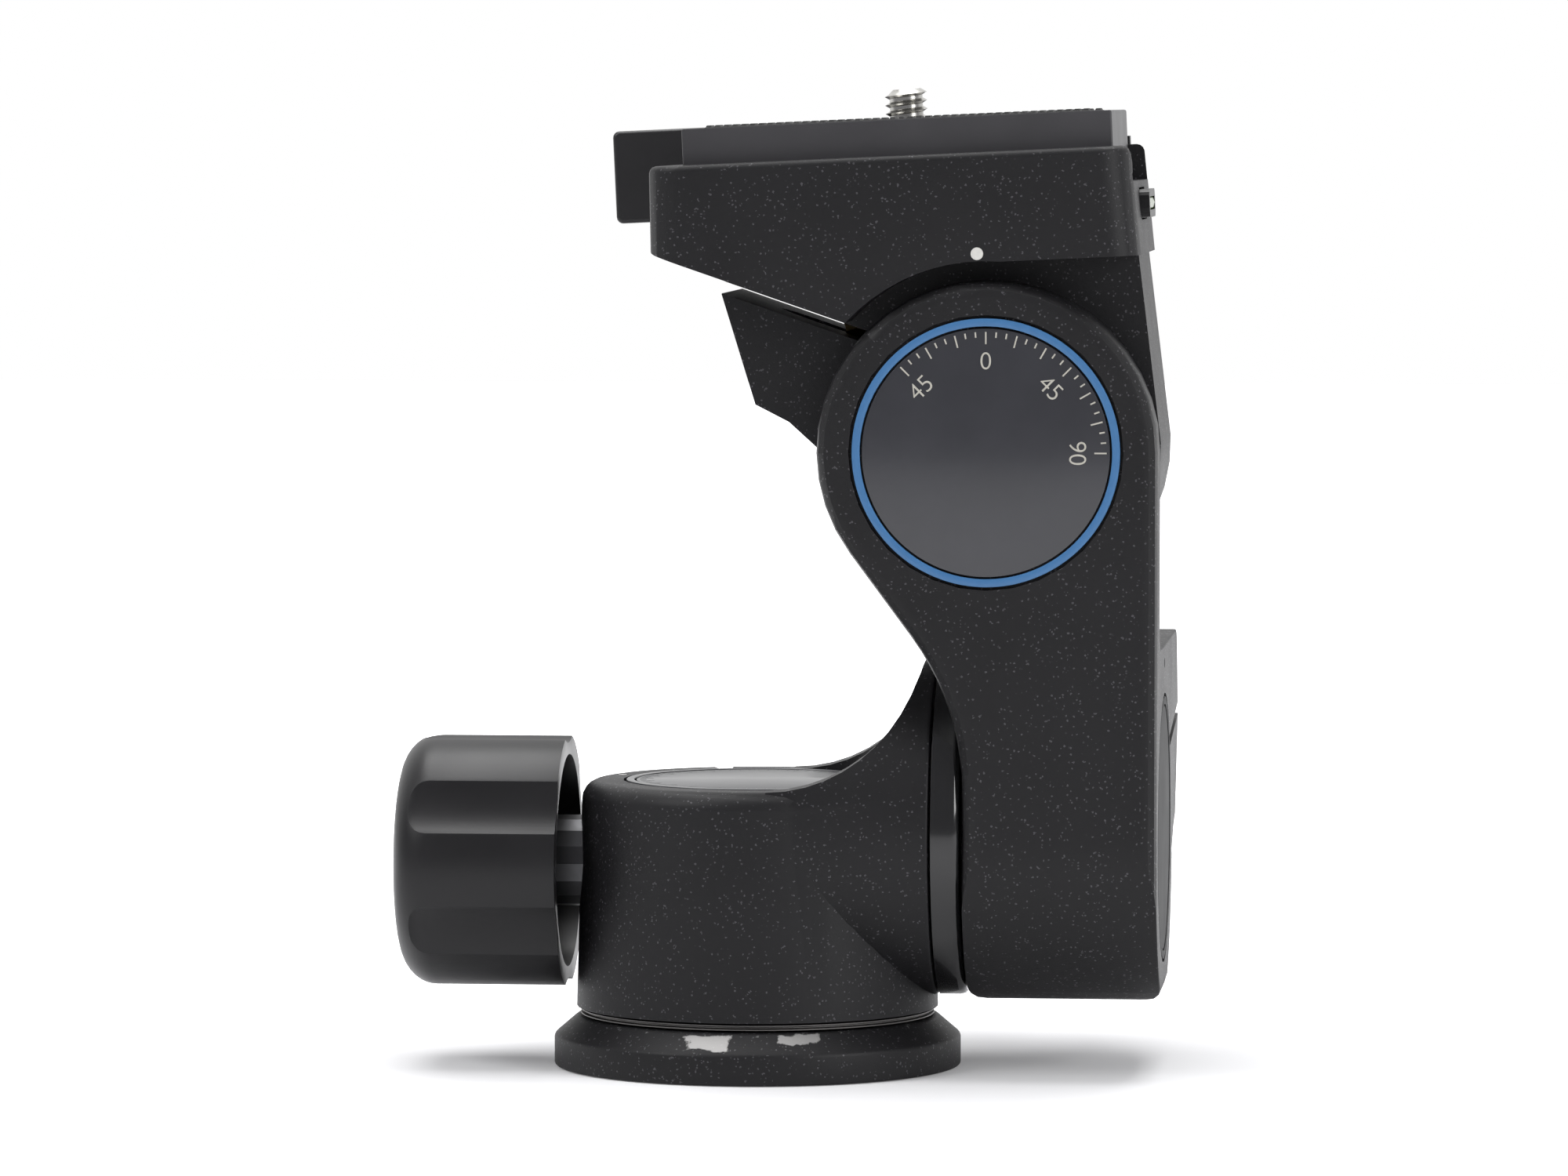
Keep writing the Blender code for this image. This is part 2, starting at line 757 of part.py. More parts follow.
def slit_cutter(turn, low, high, along):
    """A thin slab that splits the clamp just over the ear, from inside the bore outward."""
    outer = ear_top_run + clamp_bore_radius
    under = slit_rise - slit_width / 2
    over = slit_rise + slit_width / 2
    outline = [(slit_start, under), (outer, under), (outer, over), (slit_start, over)]
    placed = [clamp_point(out, up, turn + slit_turn) for out, up in outline]
    return prism("slit", placed, low, high, along)


def handle_place(depth, turn=0):
    """A point on the handle bore's axis, at a depth from the ear's flat face."""
    out = (ear_top_out + ear_foot_out) / 2 - depth * sin(ear_turn)
    up = (ear_top_up + ear_foot_up) / 2 + depth * cos(ear_turn)
    return clamp_point(out, up, turn)


def bore_piece(piece, frame, centre, heading, mirrored):
    """Lay a piece whose Z is the handle bore's outward axis into its clamp."""
    piece.parent = frame
    if mirrored:
        across, up = centre[0], centre[1]
        piece.location = (-across, 0, up)
        piece.rotation_euler = (0, -(pi / 2 - heading), 0)
    else:
        piece.location = (side_clamp_middle, centre[0], centre[1])
        piece.rotation_euler = (-(pi / 2 - heading), 0, 0)
    return piece


def cut_handle_bore(body, frame, turn, mirrored):
    """The through bore in the ear, and the pocket of the threaded insert beyond the slit."""
    heading = ear_turn - pi / 2 + turn
    bore = rod("bore", handle_bore_radius, -insert_floor, cut_overrun, small_circle)
    cut(body, bore_piece(bore, frame, handle_place(0, turn), heading, mirrored))
    pocket = rod("pocket", insert_radius + touch_gap, -insert_length - 2 * touch_gap, 0,
                 small_circle)
    place = handle_place(insert_floor, turn)
    cut(body, bore_piece(pocket, frame, place, heading, mirrored))


def make_insert(name, frame, turn, mirrored):
    """The threaded insert that a handle's screw draws on."""
    heading = ear_turn - pi / 2 + turn
    insert = tube(name, insert_radius, insert_bore_radius, -insert_length - touch_gap,
                  -touch_gap, small_circle)
    place = handle_place(insert_floor, turn)
    dress(bore_piece(insert, frame, place, heading, mirrored), brass)


def upright_front():
    """Front outline of the upright: a round head, a waist and straight sides."""
    waist_out = upright_left - waist_radius - tilt_axis_reach
    apart = hypot(head_radius + waist_radius, waist_straight)
    waist_drop = sqrt(apart ** 2 - waist_out ** 2)
    waist = (tilt_axis_reach + waist_out, tilt_axis_height - waist_drop)
    lean = acos((head_radius + waist_radius) / apart)
    tangent = atan2(-waist_drop, waist_out) - lean + 2 * pi
    outline = arc((tilt_axis_reach, tilt_axis_height), head_radius, 0, tangent, 24)
    outline += arc(waist, waist_radius, tangent - pi, 0, 10)
    low = side_axis_height - boss_radius
    round_off = boss_edge_round
    outline += arc((upright_left + round_off, low + round_off), round_off, pi, 3 * pi / 2, 3)
    outline += arc((upright_right - round_off, low + round_off), round_off, -pi / 2, 0, 3)
    return outline


def upright_side():
    """Side outline of the upright: front plate, round boss and the clamp behind it."""
    roof = side_axis_height + clamp_roof
    top = tilt_axis_height + head_radius + cut_overrun
    ear = clamp_ear(side_clamp_turn)
    root_turn = atan2(ear[0][1], ear[0][0])
    outline = [(-plate_front, top)]
    outline += arc((0, side_axis_height), plate_front, -pi, root_turn, 20)
    outline += [(out, side_axis_height + up) for out, up in ear]
    outline += [(side_block_back, roof - side_block_round)]
    outline += arc((side_block_back - side_block_round, roof - side_block_round),
                   side_block_round, 0, pi / 2, 4)[1:]
    outline += arc((-plate_back + web_round, roof + web_round), web_round, -pi / 2, -pi, 5)
    outline += [(-plate_back, top)]
    return outline


def make_upright(frame):
    """The tall casting: lateral clamp below, front-tilt head above."""
    body = prism("upright_body", upright_front(), -plate_front, side_reach, "Y",
                 low_round=head_edge_round)
    side = prism("side", upright_side(), tilt_axis_reach - head_radius - cut_overrun,
                 upright_right, "X", high_round=upright_edge_round)
    put(body, frame, (0, 0, -side_axis_height))
    keep_common(body, put(side, frame, (0, 0, -side_axis_height)))

    flange_space = rod("flange_space", flange_radius + running_gap, 0, upright_left,
                       large_circle)
    cut(body, put(flange_space, frame, along="X"))
    bore = rod("bore", clamp_bore_radius, 0, upright_right, drum_circle)
    cut(body, put(bore, frame, along="X"))
    recess = rod("recess", dial_recess_radius, side_drum_end, upright_right + cut_overrun,
                 drum_circle)
    cut(body, put(recess, frame, along="X"))
    cut(body, put(slit_cutter(side_clamp_turn, tilt_axis_reach - head_radius,
                              upright_right + cut_overrun, "X"), frame))
    cut_handle_bore(body, frame, side_clamp_turn, False)
    make_insert("side_handle_insert", frame, side_clamp_turn, False)

    tilt_place = (tilt_axis_reach, 0, tilt_axis_height - side_axis_height)
    dial_recess = rod("dial_recess", dial_recess_radius, dial_floor,
                      plate_front + cut_overrun, drum_circle)
    cut(body, put(dial_recess, frame, tilt_place, "-Y"))
    for radius, low in ((fixing_shank_radius + touch_gap, plate_back - cut_overrun),
                        (fixing_head_radius + touch_gap, tilt_fixing_seat)):
        cut_ring(body, frame, tilt_place, "-Y", tilt_fixings, tilt_fixing_ring, radius, low,
                 plate_front)

    dimple = rod("dimple", side_dot_radius, upright_right - tilt_dot_depth,
                 upright_right + cut_overrun, small_circle)
    cut(body, put(dimple, frame, (0, 0, side_dot_height), "X"))
    dress(body, casting_paint)

    make_liner("side_liner", frame, flange_right + touch_gap, side_drum_end, "X",
               side_liner_slot_turn)


def make_tilt_drum(frame):
    """The drum behind the front plate, which the platform clamps and tilts round."""
    screw_hole = end_screw_radius + touch_gap
    profile = [(screw_hole, tilt_drum_end), (drum_radius, tilt_drum_end),
               (drum_radius, tilt_drum_front), (drum_bore_radius, tilt_drum_front),
               (drum_bore_radius, tilt_drum_end - drum_bore_wall),
               (screw_hole, tilt_drum_end - drum_bore_wall)]
    drum = put(turned("tilt_drum", profile, drum_circle), frame, along="Y")
    cut_ring(drum, frame, (0, 0, 0), "-Y", tilt_fixings, tilt_fixing_ring,
             fixing_shank_radius + touch_gap, tilt_fixing_tip - touch_gap, plate_front)
    dress(drum, dark_steel)

    head_face = tilt_fixing_seat + tilt_fixing_head_height
    fixing_screws("tilt_drum_screw", tilt_fixings, tilt_fixing_head_height,
                  head_face - tilt_fixing_tip, tilt_fixing_ring, frame, (0, -head_face, 0),
                  "-Y")

    make_end_washer("tilt", frame, tilt_drum_end + touch_gap, "Y")
    make_dial("tilt", frame, (0, tilt_dial_back, 0), "-Y", 0)


def tray_underside():
    """Front outline of the space above the tray's underside, with the arch over the head."""
    start = pi / 2 - slit_turn + acos(slope_rise / tray_arch_radius)
    end = asin(tray_bottom / tray_arch_radius)
    right = tray_right + cut_overrun
    left = -tray_left - cut_overrun
    top = tray_top + cut_overrun
    outline = [(right, tray_bottom), (right, top), (left, top), (left, tray_corner_up),
               (-tray_left, tray_corner_up), (-tray_chin_out, tray_chin_up)]
    return outline + arc((0, 0), tray_arch_radius, start, end, 10)


def tray_block():
    """The tray's block: a rounded rectangle whose ends lean in towards the top."""
    plan = rounded_box(-tray_left, tray_right, -tray_half_depth, tray_half_depth,
                       tray_plan_round)
    block = prism("platform_body", plan, 0, tray_top, high_round=tray_edge_round)
    for corner in block.data.vertices:
        rise = (corner.co.z - tray_bottom) / (tray_top - tray_bottom)
        if rise > 0:
            along = (corner.co.x + tray_left) / (tray_left + tray_right)
            lean_left = (tray_left - tray_left_top) * rise
            lean_right = (tray_right - tray_right_top) * rise
            corner.co.x += lean_left * (1 - along) - lean_right * along
    return block


def make_platform(frame):
    """The tray that carries the plate, with the front-tilt clamp under it."""
    body = put(tray_block(), frame)
    reach = tray_half_depth + cut_overrun
    keep_common(body, put(prism("underside", tray_underside(), -reach, reach, "Y"), frame))

    ear = [(-out, up) for out, up in clamp_ear()]
    root_turn = atan2(ear[0][1], ear[0][0]) - 2 * pi
    bracket = [(tray_right_top, bracket_top)]
    bracket += arc((0, 0), ring_radius, 0, root_turn, 20)
    bracket += ear[1:]
    bracket += [(bracket_shoulder - ear_top_out, bracket_top)]
    join(body, put(prism("bracket", bracket, -clamp_front, clamp_back, "Y"), frame))

    bore = rod("bore", clamp_bore_radius, -tray_half_depth, tray_half_depth, drum_circle)
    cut(body, put(bore, frame, along="Y"))
    slit = slit_cutter(0, -clamp_front - touch_gap, clamp_back + touch_gap, "Y")
    for corner in slit.data.vertices:
        corner.co.x = -corner.co.x
    slit.data.flip_normals()
    cut(body, put(slit, frame))
    cut_handle_bore(body, frame, 0, True)
    make_insert("tilt_handle_insert", frame, 0, True)

    wall = tray_half_width
    pocket = [(-wall, tray_top + cut_overrun), (-wall, rail_middle + rail_ridge),
              (-wall + rail_ridge, rail_middle), (-wall, rail_middle - rail_ridge),
              (-wall, tray_floor), (wall, tray_floor), (wall, tray_top + cut_overrun)]
    cut(body, put(prism("pocket", pocket, -tray_end_wall, tray_right + cut_overrun, "X"),
                  frame))
    jaw_space = [(-jaw_left - touch_gap, wall - cut_overrun),
                 (jaw_right + touch_gap, wall - cut_overrun),
                 (jaw_right + touch_gap, jaw_space_back), (-jaw_left - touch_gap, jaw_space_back)]
    cut(body, put(prism("jaw_space", jaw_space, tray_floor, tray_top + cut_overrun), frame))
    reach = lever_hub_radius + lever_cam_offset + touch_gap
    window = [(lever_pivot_out - reach, window_front), (lever_pivot_out + reach, window_front),
              (lever_pivot_out + reach, tray_half_depth + cut_overrun),
              (lever_pivot_out - reach, tray_half_depth + cut_overrun)]
    cut(body, put(prism("window", window, lever_bottom - running_gap,
                        lever_top + running_gap), frame))
    for bottom in (lever_bottom - touch_gap - lug_thickness, lever_top + touch_gap):
        lug = [(lug_right, lug_root), (lug_left, lug_root)]
        lug += arc((lug_left + lug_round, lug_depth - lug_round), lug_round, -pi, -3 * pi / 2, 5)
        lug += arc((lug_right - lug_round, lug_depth - lug_round), lug_round, pi / 2, 0, 5)
        join(body, put(prism("lug", lug, bottom, bottom + lug_thickness), frame))
    pin_hole = rod("pin_hole", pin_radius + touch_gap,
                   lever_bottom - lug_thickness - cut_overrun,
                   lever_top + lug_thickness + cut_overrun, small_circle)
    cut(body, put(pin_hole, frame, (lever_pivot_out, lever_pivot_depth, 0)))

    bezel_space = rounded_box(-bezel_half_length - touch_gap, bezel_half_length + touch_gap,
                              bezel_bottom - touch_gap, bezel_top + touch_gap,
                              bezel_corner_round)
    cut(body, put(prism("bezel_space", bezel_space, bezel_back - touch_gap,
                        tray_right + cut_overrun, "X"), frame))
    dimple = rod("dimple", tilt_dot_radius, tray_half_depth - tilt_dot_depth,
                 tray_half_depth + cut_overrun, small_circle)
    cut(body, put(dimple, frame, (0, 0, tilt_dot_up), "-Y"))
    dress(body, casting_paint)

    make_liner("tilt_liner", frame, -clamp_front, clamp_back, "Y", tilt_liner_slot_turn)
    pin = rod("lever_pivot_pin", pin_radius, lever_bottom - lug_thickness,
              lever_top + lug_thickness, small_circle)
    dress(put(pin, frame, (lever_pivot_out, lever_pivot_depth, 0)), bright_steel)
    make_level(frame)


def make_level(frame):
    """The spirit level let into the right-hand end of the tray."""
    bezel = rounded_box(-bezel_half_length, bezel_half_length, bezel_bottom, bezel_top,
                        bezel_corner_round)
    bezel = put(prism("level_bezel", bezel, bezel_back, bezel_face, "X"), frame)
    trough = rod("trough", vial_radius + touch_gap, -vial_half_length - touch_gap,
                 vial_half_length + touch_gap, small_circle)
    vial_place = (bezel_face - vial_radius * vial_sink_share, 0, vial_middle)
    cut(bezel, put(trough, frame, vial_place, "Y"))
    dress(bezel, black_plastic)
    vial = rod("level_vial", vial_radius, -vial_half_length, vial_half_length, small_circle)
    dress(put(vial, frame, vial_place, "Y"), vial_glass)


def make_lever(frame, jaw_frame):
    """The quick-release lever with its cam, and the jaw that the cam presses."""
    pivot = (lever_pivot_out, lever_pivot_depth)
    bar = rounded_box(-lever_tip, lever_pivot_out, lever_front, lever_back, lever_round)
    bar = [(across - pivot[0], depth - pivot[1]) for across, depth in bar]
    lever = put(prism("qr_lever", bar, lever_bottom, lever_top), frame)
    hub = arc((0, 0), lever_hub_radius, 0, pi, 10)
    hub += arc((0, -lever_cam_offset), lever_hub_radius, pi, 2 * pi, 10)
    join(lever, put(prism("hub", hub, lever_bottom, lever_top), frame))
    tab = rounded_box(-lever_tip, -lever_tab_start, lever_tab_bottom, lever_tab_top,
                      lever_tab_round)
    tab = [(across - pivot[0], up) for across, up in tab]
    tab = prism("tab", tab, lever_front - pivot[1], lever_back - pivot[1], "Y",
                low_round=lever_edge_round, high_round=lever_edge_round)
    join(lever, put(tab, frame))
    hole = rod("hole", pin_radius + touch_gap, lever_bottom - cut_overrun,
               lever_top + cut_overrun, small_circle)
    cut(lever, put(hole, frame))
    dress(lever, black_plastic)

    tip = -tray_half_width + rail_ridge
    jaw = [(-tip, rail_middle), (tray_half_width, rail_middle + rail_ridge),
           (tray_half_width, tray_top - touch_gap), (jaw_back, tray_top - touch_gap),
           (jaw_back, tray_floor + touch_gap), (tray_half_width, tray_floor + touch_gap),
           (tray_half_width, rail_middle - rail_ridge)]
    dress(put(prism("clamp_jaw", jaw, -jaw_left, jaw_right, "X"), jaw_frame), bright_steel)


def make_plate(frame, screw_frame):
    """The quick-release plate with its two pads and the camera screw."""
    half = plate_half_width
    throat = rail_ridge + plate_neck - (tray_half_width - plate_half_width)
    shoulder = rail_middle + plate_neck
    foot = rail_middle - plate_neck
    side = [(half, plate_top), (half, shoulder + throat), (half - throat, shoulder),
            (half - throat, foot), (half, foot - throat), (half, plate_bottom)]
    outline = side + [(-across, up) for across, up in reversed(side)]
    plate = put(prism("qr_plate", outline, -plate_left, plate_right, "X",
                      low_round=plate_edge_round, high_round=plate_edge_round), frame)
    hole = rod("hole", camera_screw_radius + touch_gap, plate_bottom - cut_overrun,
               plate_top + cut_overrun, small_circle)
    cut(plate, put(hole, frame, (plate_middle, 0, 0)))
    recess = rod("recess", camera_head_radius + touch_gap, plate_bottom - cut_overrun,
                 washer_top + touch_gap, drum_circle)
    cut(plate, put(recess, frame, (plate_middle, 0, 0)))
    left = -plate_left + pad_length_inset
    right = plate_right - pad_length_inset
    for name, outer in (("plate_pad_near", -half + pad_inset),
                        ("plate_pad_far", half - pad_inset - pad_width)):
        groove = rounded_box(left - touch_gap, right + touch_gap, outer - touch_gap,
                             outer + pad_width + touch_gap, pad_corner_round)
        cut(plate, put(prism("groove", groove, plate_top - pad_sink,
                             plate_top + cut_overrun), frame))
        pad = rounded_box(left, right, outer, outer + pad_width, pad_corner_round)
        pad = prism(name, pad, plate_top - pad_sink + touch_gap, plate_top + pad_proud)
        dress(put(pad, frame), black_rubber)
    dress(plate, black_plastic)

    tip = plate_top + camera_screw_proud
    profile = [(0, tip), (camera_screw_radius - camera_screw_tip, tip),
               (camera_screw_radius, tip - camera_screw_tip),
               (camera_screw_radius, head_top), (camera_head_radius, head_top),
               (camera_head_radius, head_bottom), (0, head_bottom)]
    screw = put(turned("camera_screw", profile, drum_circle), screw_frame)
    slot = rounded_box(-2 * camera_head_radius, 2 * camera_head_radius,
                       -camera_head_slot_width / 2, camera_head_slot_width / 2, touch_gap)
    cut(screw, put(prism("slot", slot, head_bottom - cut_overrun,
                         head_bottom + camera_head_slot_depth), screw_frame))
    dress(screw, bright_steel)
    washer = tube("camera_screw_washer", camera_washer_radius,
                  camera_screw_radius + touch_gap, head_top + touch_gap, washer_top,
                  drum_circle)
    dress(put(washer, screw_frame), dark_steel)


def make_knob(frame, shoe_frame):
    """The pan lock: a fluted cup knob on its screw, and the shoe that brakes the spindle."""
    inner = knob_radius - knob_wall
    top_radius = knob_radius - knob_corner_round
    corner_height = knob_outer - knob_dome - knob_corner_round
    profile = [(top_radius * share, knob_outer - knob_dome * share ** 2)
               for share in knob_dome_shares]
    profile += arc((top_radius, corner_height), knob_corner_round, pi / 2, 0, 4)
    profile += arc((knob_radius - knob_rim_round, knob_inner + knob_rim_round),
                   knob_rim_round, 0, -pi / 2, 2)
    profile += [(inner, knob_inner), (inner, knob_outer - knob_end_wall),
                (hub_radius + touch_gap, knob_outer - knob_end_wall),
                (hub_radius + touch_gap, hub_end + touch_gap), (0, hub_end + touch_gap)]
    knob = put(turned("pan_knob", profile, large_circle), frame, along="-X")
    reach = knob_radius - knob_flute_depth + knob_flute_radius
    flute_end = knob_outer - knob_flute_inset
    for index in range(knob_flutes):
        turn = 2 * pi * index / knob_flutes
        profile = [(0, flute_end)]
        profile += arc((knob_flute_radius - knob_corner_round, flute_end - knob_corner_round),
                       knob_corner_round, pi / 2, 0, 4)
        profile += [(knob_flute_radius, knob_inner - cut_overrun),
                    (0, knob_inner - cut_overrun)]
        flute = turned("flute", profile, drum_circle)
        flute.data.transform(Matrix.Translation((reach * cos(turn), reach * sin(turn), 0)))
        cut(knob, put(flute, frame, along="-X"))
    dress(knob, black_plastic)

    profile = [(0, hub_end), (hub_radius, hub_end), (hub_radius, hub_seat + touch_gap),
               (lock_screw_radius, hub_seat + touch_gap), (lock_screw_radius, shoe_back),
               (0, shoe_back)]
    screw = turned("pan_lock_screw", profile, small_circle)
    dress(put(screw, frame, along="-X"), dark_steel)

    shoe = put(rod("pan_brake_shoe", lock_screw_radius, 0, shoe_back - touch_gap,
                   small_circle), shoe_frame, (0, 0, knob_axis_height), "-X")
    hollow = rod("hollow", spindle_radius + touch_gap, 0, spindle_shoulder, drum_circle)
    cut(shoe, put(hollow, shoe_frame))
    dress(shoe, brass)


def build():
    clear_scene()
    base_frame = frame_at("base_frame", None, (0, 0, 0))
    pan_frame = frame_at("pan_frame", base_frame, (0, 0, 0))
    knob_frame = frame_at("knob_frame", pan_frame, (0, 0, knob_axis_height))
    side_frame = frame_at("side_frame", pan_frame, (0, 0, side_axis_height))
    head_place = (tilt_axis_reach, 0, tilt_axis_height - side_axis_height)
    head_frame = frame_at("head_frame", side_frame, head_place)
    platform_frame = frame_at("platform_frame", head_frame, (0, 0, 0), (0, rest_tilt, 0))
    lever_frame = frame_at("lever_frame", platform_frame,
                           (lever_pivot_out, lever_pivot_depth, 0))
    screw_frame = frame_at("screw_frame", platform_frame, (plate_middle, 0, 0))

    make_base(base_frame)
    make_housing(pan_frame, side_frame)
    make_side_drum(side_frame)
    make_upright(side_frame)
    make_tilt_drum(head_frame)
    make_platform(platform_frame)
    make_lever(lever_frame, platform_frame)
    make_plate(platform_frame, screw_frame)
    make_knob(knob_frame, pan_frame)


build()
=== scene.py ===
# %% [markdown]
# # A three-way tripod head
# The head turns on its base, tilts sideways on one drum and forward on another, and carries a
# camera plate on top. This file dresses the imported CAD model: each cell says what a piece or a
# finish is on the real object, makes it, and prints what it made.

# %% Load the frame
from math import cos, pi, radians, sin

import bpy
from mathutils import Matrix, Vector


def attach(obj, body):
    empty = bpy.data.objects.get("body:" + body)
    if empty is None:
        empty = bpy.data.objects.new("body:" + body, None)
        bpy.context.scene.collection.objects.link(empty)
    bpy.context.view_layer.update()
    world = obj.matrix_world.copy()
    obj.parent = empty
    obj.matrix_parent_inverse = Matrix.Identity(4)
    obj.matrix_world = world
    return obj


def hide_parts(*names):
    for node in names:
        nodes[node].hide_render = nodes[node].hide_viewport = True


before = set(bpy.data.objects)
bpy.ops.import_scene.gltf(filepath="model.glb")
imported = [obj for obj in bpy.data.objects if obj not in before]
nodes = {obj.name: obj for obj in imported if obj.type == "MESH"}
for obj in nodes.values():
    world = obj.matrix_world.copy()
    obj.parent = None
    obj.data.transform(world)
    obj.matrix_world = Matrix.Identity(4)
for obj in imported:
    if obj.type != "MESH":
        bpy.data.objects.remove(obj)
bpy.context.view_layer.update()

scene = bpy.context.scene

# %% [markdown]
# The camera stands about 1.2 m away, a little to the right of the head and just above it, with
# a long lens, as for a product photograph. The long lens keeps upright edges parallel. The
# angles were found from the places of the dial, the base and the plate in the photograph.

# %% Camera
camera_turn = radians(5.376)
camera_rise = radians(3.392)
camera_reach = 1.2337
camera_lens = 187.96
camera_target = Vector((0.00399, 0, 0.07191))

away = Vector((sin(camera_turn) * cos(camera_rise), -cos(camera_turn) * cos(camera_rise),
               sin(camera_rise)))
bpy.ops.object.camera_add(location=camera_target + camera_reach * away)
camera = bpy.context.object
camera.name = "studio_camera"
camera.rotation_euler = (-away).to_track_quat("-Z", "Y").to_euler()
camera.data.lens = camera_lens
camera.data.clip_start = 0.05
scene.camera = camera
print("camera at", [round(place, 3) for place in camera.location])

# %% [markdown]
# Each finish is a small graph of shader nodes. Written node by node, such a graph is long and
# hard to read, so a small class wraps a socket and lets Python's own operators add the Math
# nodes. `Graph` adds nodes to a tree, and `Finish` is the graph of one material.

# %% Shader maths
class Signal:
    """A socket that Python's operators work on."""

    def __init__(self, graph, socket):
        self.graph = graph
        self.socket = socket

    def math(self, operation, first, second):
        return self.graph.node("ShaderNodeMath", {"operation": operation},
                               {0: first, 1: second})

    def __add__(self, other):
        return self.math("ADD", self, other)

    __radd__ = __add__

    def __sub__(self, other):
        return self.math("SUBTRACT", self, other)

    def __rsub__(self, other):
        return self.math("SUBTRACT", other, self)

    def __mul__(self, other):
        return self.math("MULTIPLY", self, other)

    def above(self, level, soft):
        """0 below the level and 1 over it, with a soft step."""
        return self.graph.node("ShaderNodeMapRange", {"interpolation_type": "SMOOTHSTEP"},
                               {"Value": self, "From Min": level - soft,
                                "From Max": level + soft}, "Result")


class Graph:
    """A tree of shader nodes, with a short way to add one and feed it."""

    def __init__(self, tree):
        self.tree = tree

    def feed(self, socket, value):
        if isinstance(value, Signal):
            self.tree.links.new(value.socket, socket)
        else:
            socket.default_value = value

    def node(self, kind, settings, sockets, output=0):
        made = self.tree.nodes.new(kind)
        for key, value in settings.items():
            setattr(made, key, value)
        for key, value in sockets.items():
            self.feed(made.inputs[key], value)
        return Signal(self, made.outputs[output])

    def axes(self, place):
        """The X, Y and Z of a place, each on its own."""
        apart = self.node("ShaderNodeSeparateXYZ", {}, {"Vector": place}).socket.node
        return [Signal(self, output) for output in apart.outputs]

    def ray(self, kind):
        """1 for rays of this kind, 0 for others."""
        return self.node("ShaderNodeLightPath", {}, {}, "Is %s Ray" % kind)


class Finish(Graph):
    """One material, with its Principled shader."""

    def __init__(self, name, colour, roughness, metallic=0.0):
        self.material = bpy.data.materials.new(name)
        self.material.use_nodes = True
        super().__init__(self.material.node_tree)
        self.shader = self.tree.nodes["Principled BSDF"]
        self.set("Base Color", (*colour, 1))
        self.set("Roughness", roughness)
        self.set("Metallic", metallic)
        self.place = self.node("ShaderNodeTexCoord", {}, {}, "Object")

    def set(self, socket, value):
        self.feed(self.shader.inputs[socket], value)

    def noise(self, scale, detail, rough=0.5, place=None):
        return self.node("ShaderNodeTexNoise", {},
                         {"Vector": place or self.place, "Scale": scale, "Detail": detail,
                          "Roughness": rough}, "Fac")

    def stretched(self, scale):
        """The place, scaled apart along X, Y and Z."""
        return self.node("ShaderNodeMapping", {}, {"Vector": self.place, "Scale": scale})

    def mix(self, mask, first, second):
        """Two colours mixed. Sockets 6 and 7 of the Mix node are colours, as is output 2."""
        return self.node("ShaderNodeMix", {"data_type": "RGBA"},
                         {"Factor": mask, 6: first, 7: second}, 2)

    def bump(self, height, depth, strength):
        self.set("Normal", self.node("ShaderNodeBump", {},
                                     {"Height": height, "Distance": depth,
                                      "Strength": strength}, "Normal"))


print("shader maths ready")

# %% [markdown]
# ## Finishes
# The castings have a black stove enamel with a fine grain: it looks like soot with tiny bright
# grains in it. Here the grain is a small noise in the bump, and a cell pattern picks out about
# one grain in forty, which is paler and smoother than the rest.

# %% Casting enamel
grain_scale = 3600
fleck_scale = 4300
fleck_level = 0.972
soot_low = (0.0058, 0.0056, 0.0064, 1)
soot_high = (0.0098, 0.0095, 0.0108, 1)
fleck_grey = (0.060, 0.058, 0.064, 1)
bare_metal = (0.34, 0.335, 0.33, 1)


def enamel(name, chips=None):
    """Stove enamel; chips, where given, marks the places worn to bare metal."""
    paint = Finish(name, (0.014, 0.014, 0.015), 0.5)
    paint.set("Specular IOR Level", 0.30)
    grain = paint.noise(grain_scale, 3.0, 0.6)
    cloud = paint.noise(70, 2.0)
    cell = paint.node("ShaderNodeTexVoronoi", {"feature": "F1"},
                      {"Vector": paint.place, "Scale": fleck_scale}, "Color")
    level = paint.node("ShaderNodeSeparateColor", {}, {"Color": cell}, "Red")
    fleck = level.above(fleck_level, 0.012)
    shade = paint.mix(fleck, paint.mix(cloud, soot_low, soot_high), fleck_grey)
    if chips:
        mask = chips(paint)
        shade = paint.mix(mask, shade, bare_metal)
        paint.set("Metallic", mask)
    paint.set("Base Color", shade)
    paint.set("Roughness", 0.43 + cloud * 0.14 - fleck * 0.14)
    paint.bump(grain + fleck * 0.5, 0.00004, 0.6)
    return paint.material


casting = enamel("casting_enamel")
print("enamel grain about", round(1000 / grain_scale, 2), "mm")

# %% [markdown]
# The base has been screwed to many tripods, so its sloping shoulder is chipped to bare metal
# in two places at the front, with a worn line along the shoulder's upper edge. Each chip is a
# box of soft steps in X and Z whose border a noise eats into.

# %% Chipped enamel for the base
ragged_depth = 0.004
side_soft = 0.0002
edge_soft = 0.0001
worn_share = 0.5


def shoulder_chips(paint):
    across, deep, up = paint.axes(paint.place)
    ragged = (paint.noise(330, 4.0, 0.6) - 0.5) * ragged_depth
    side, height = across + ragged, up + ragged * 0.35
    front = 1 - deep.above(-0.020, 0.002)

    def chip(left, right, low, high):
        inside = side.above(left, side_soft) * (1 - side.above(right, side_soft))
        level = height.above(low, edge_soft) * (1 - height.above(high, edge_soft))
        return inside * level * front

    worn = paint.noise(900, 3.0, 0.7).above(0.66, 0.02)
    rim = up.above(0.0070, side_soft) * (1 - deep.above(0.004, 0.012)) * worn
    chips = chip(-0.0079, -0.0013, 0.0052, 0.0071) + chip(0.0056, 0.0110, 0.0060, 0.0072)
    return chips + rim * worn_share


base_enamel = enamel("base_enamel", shoulder_chips)
print("chips on the shoulder only")

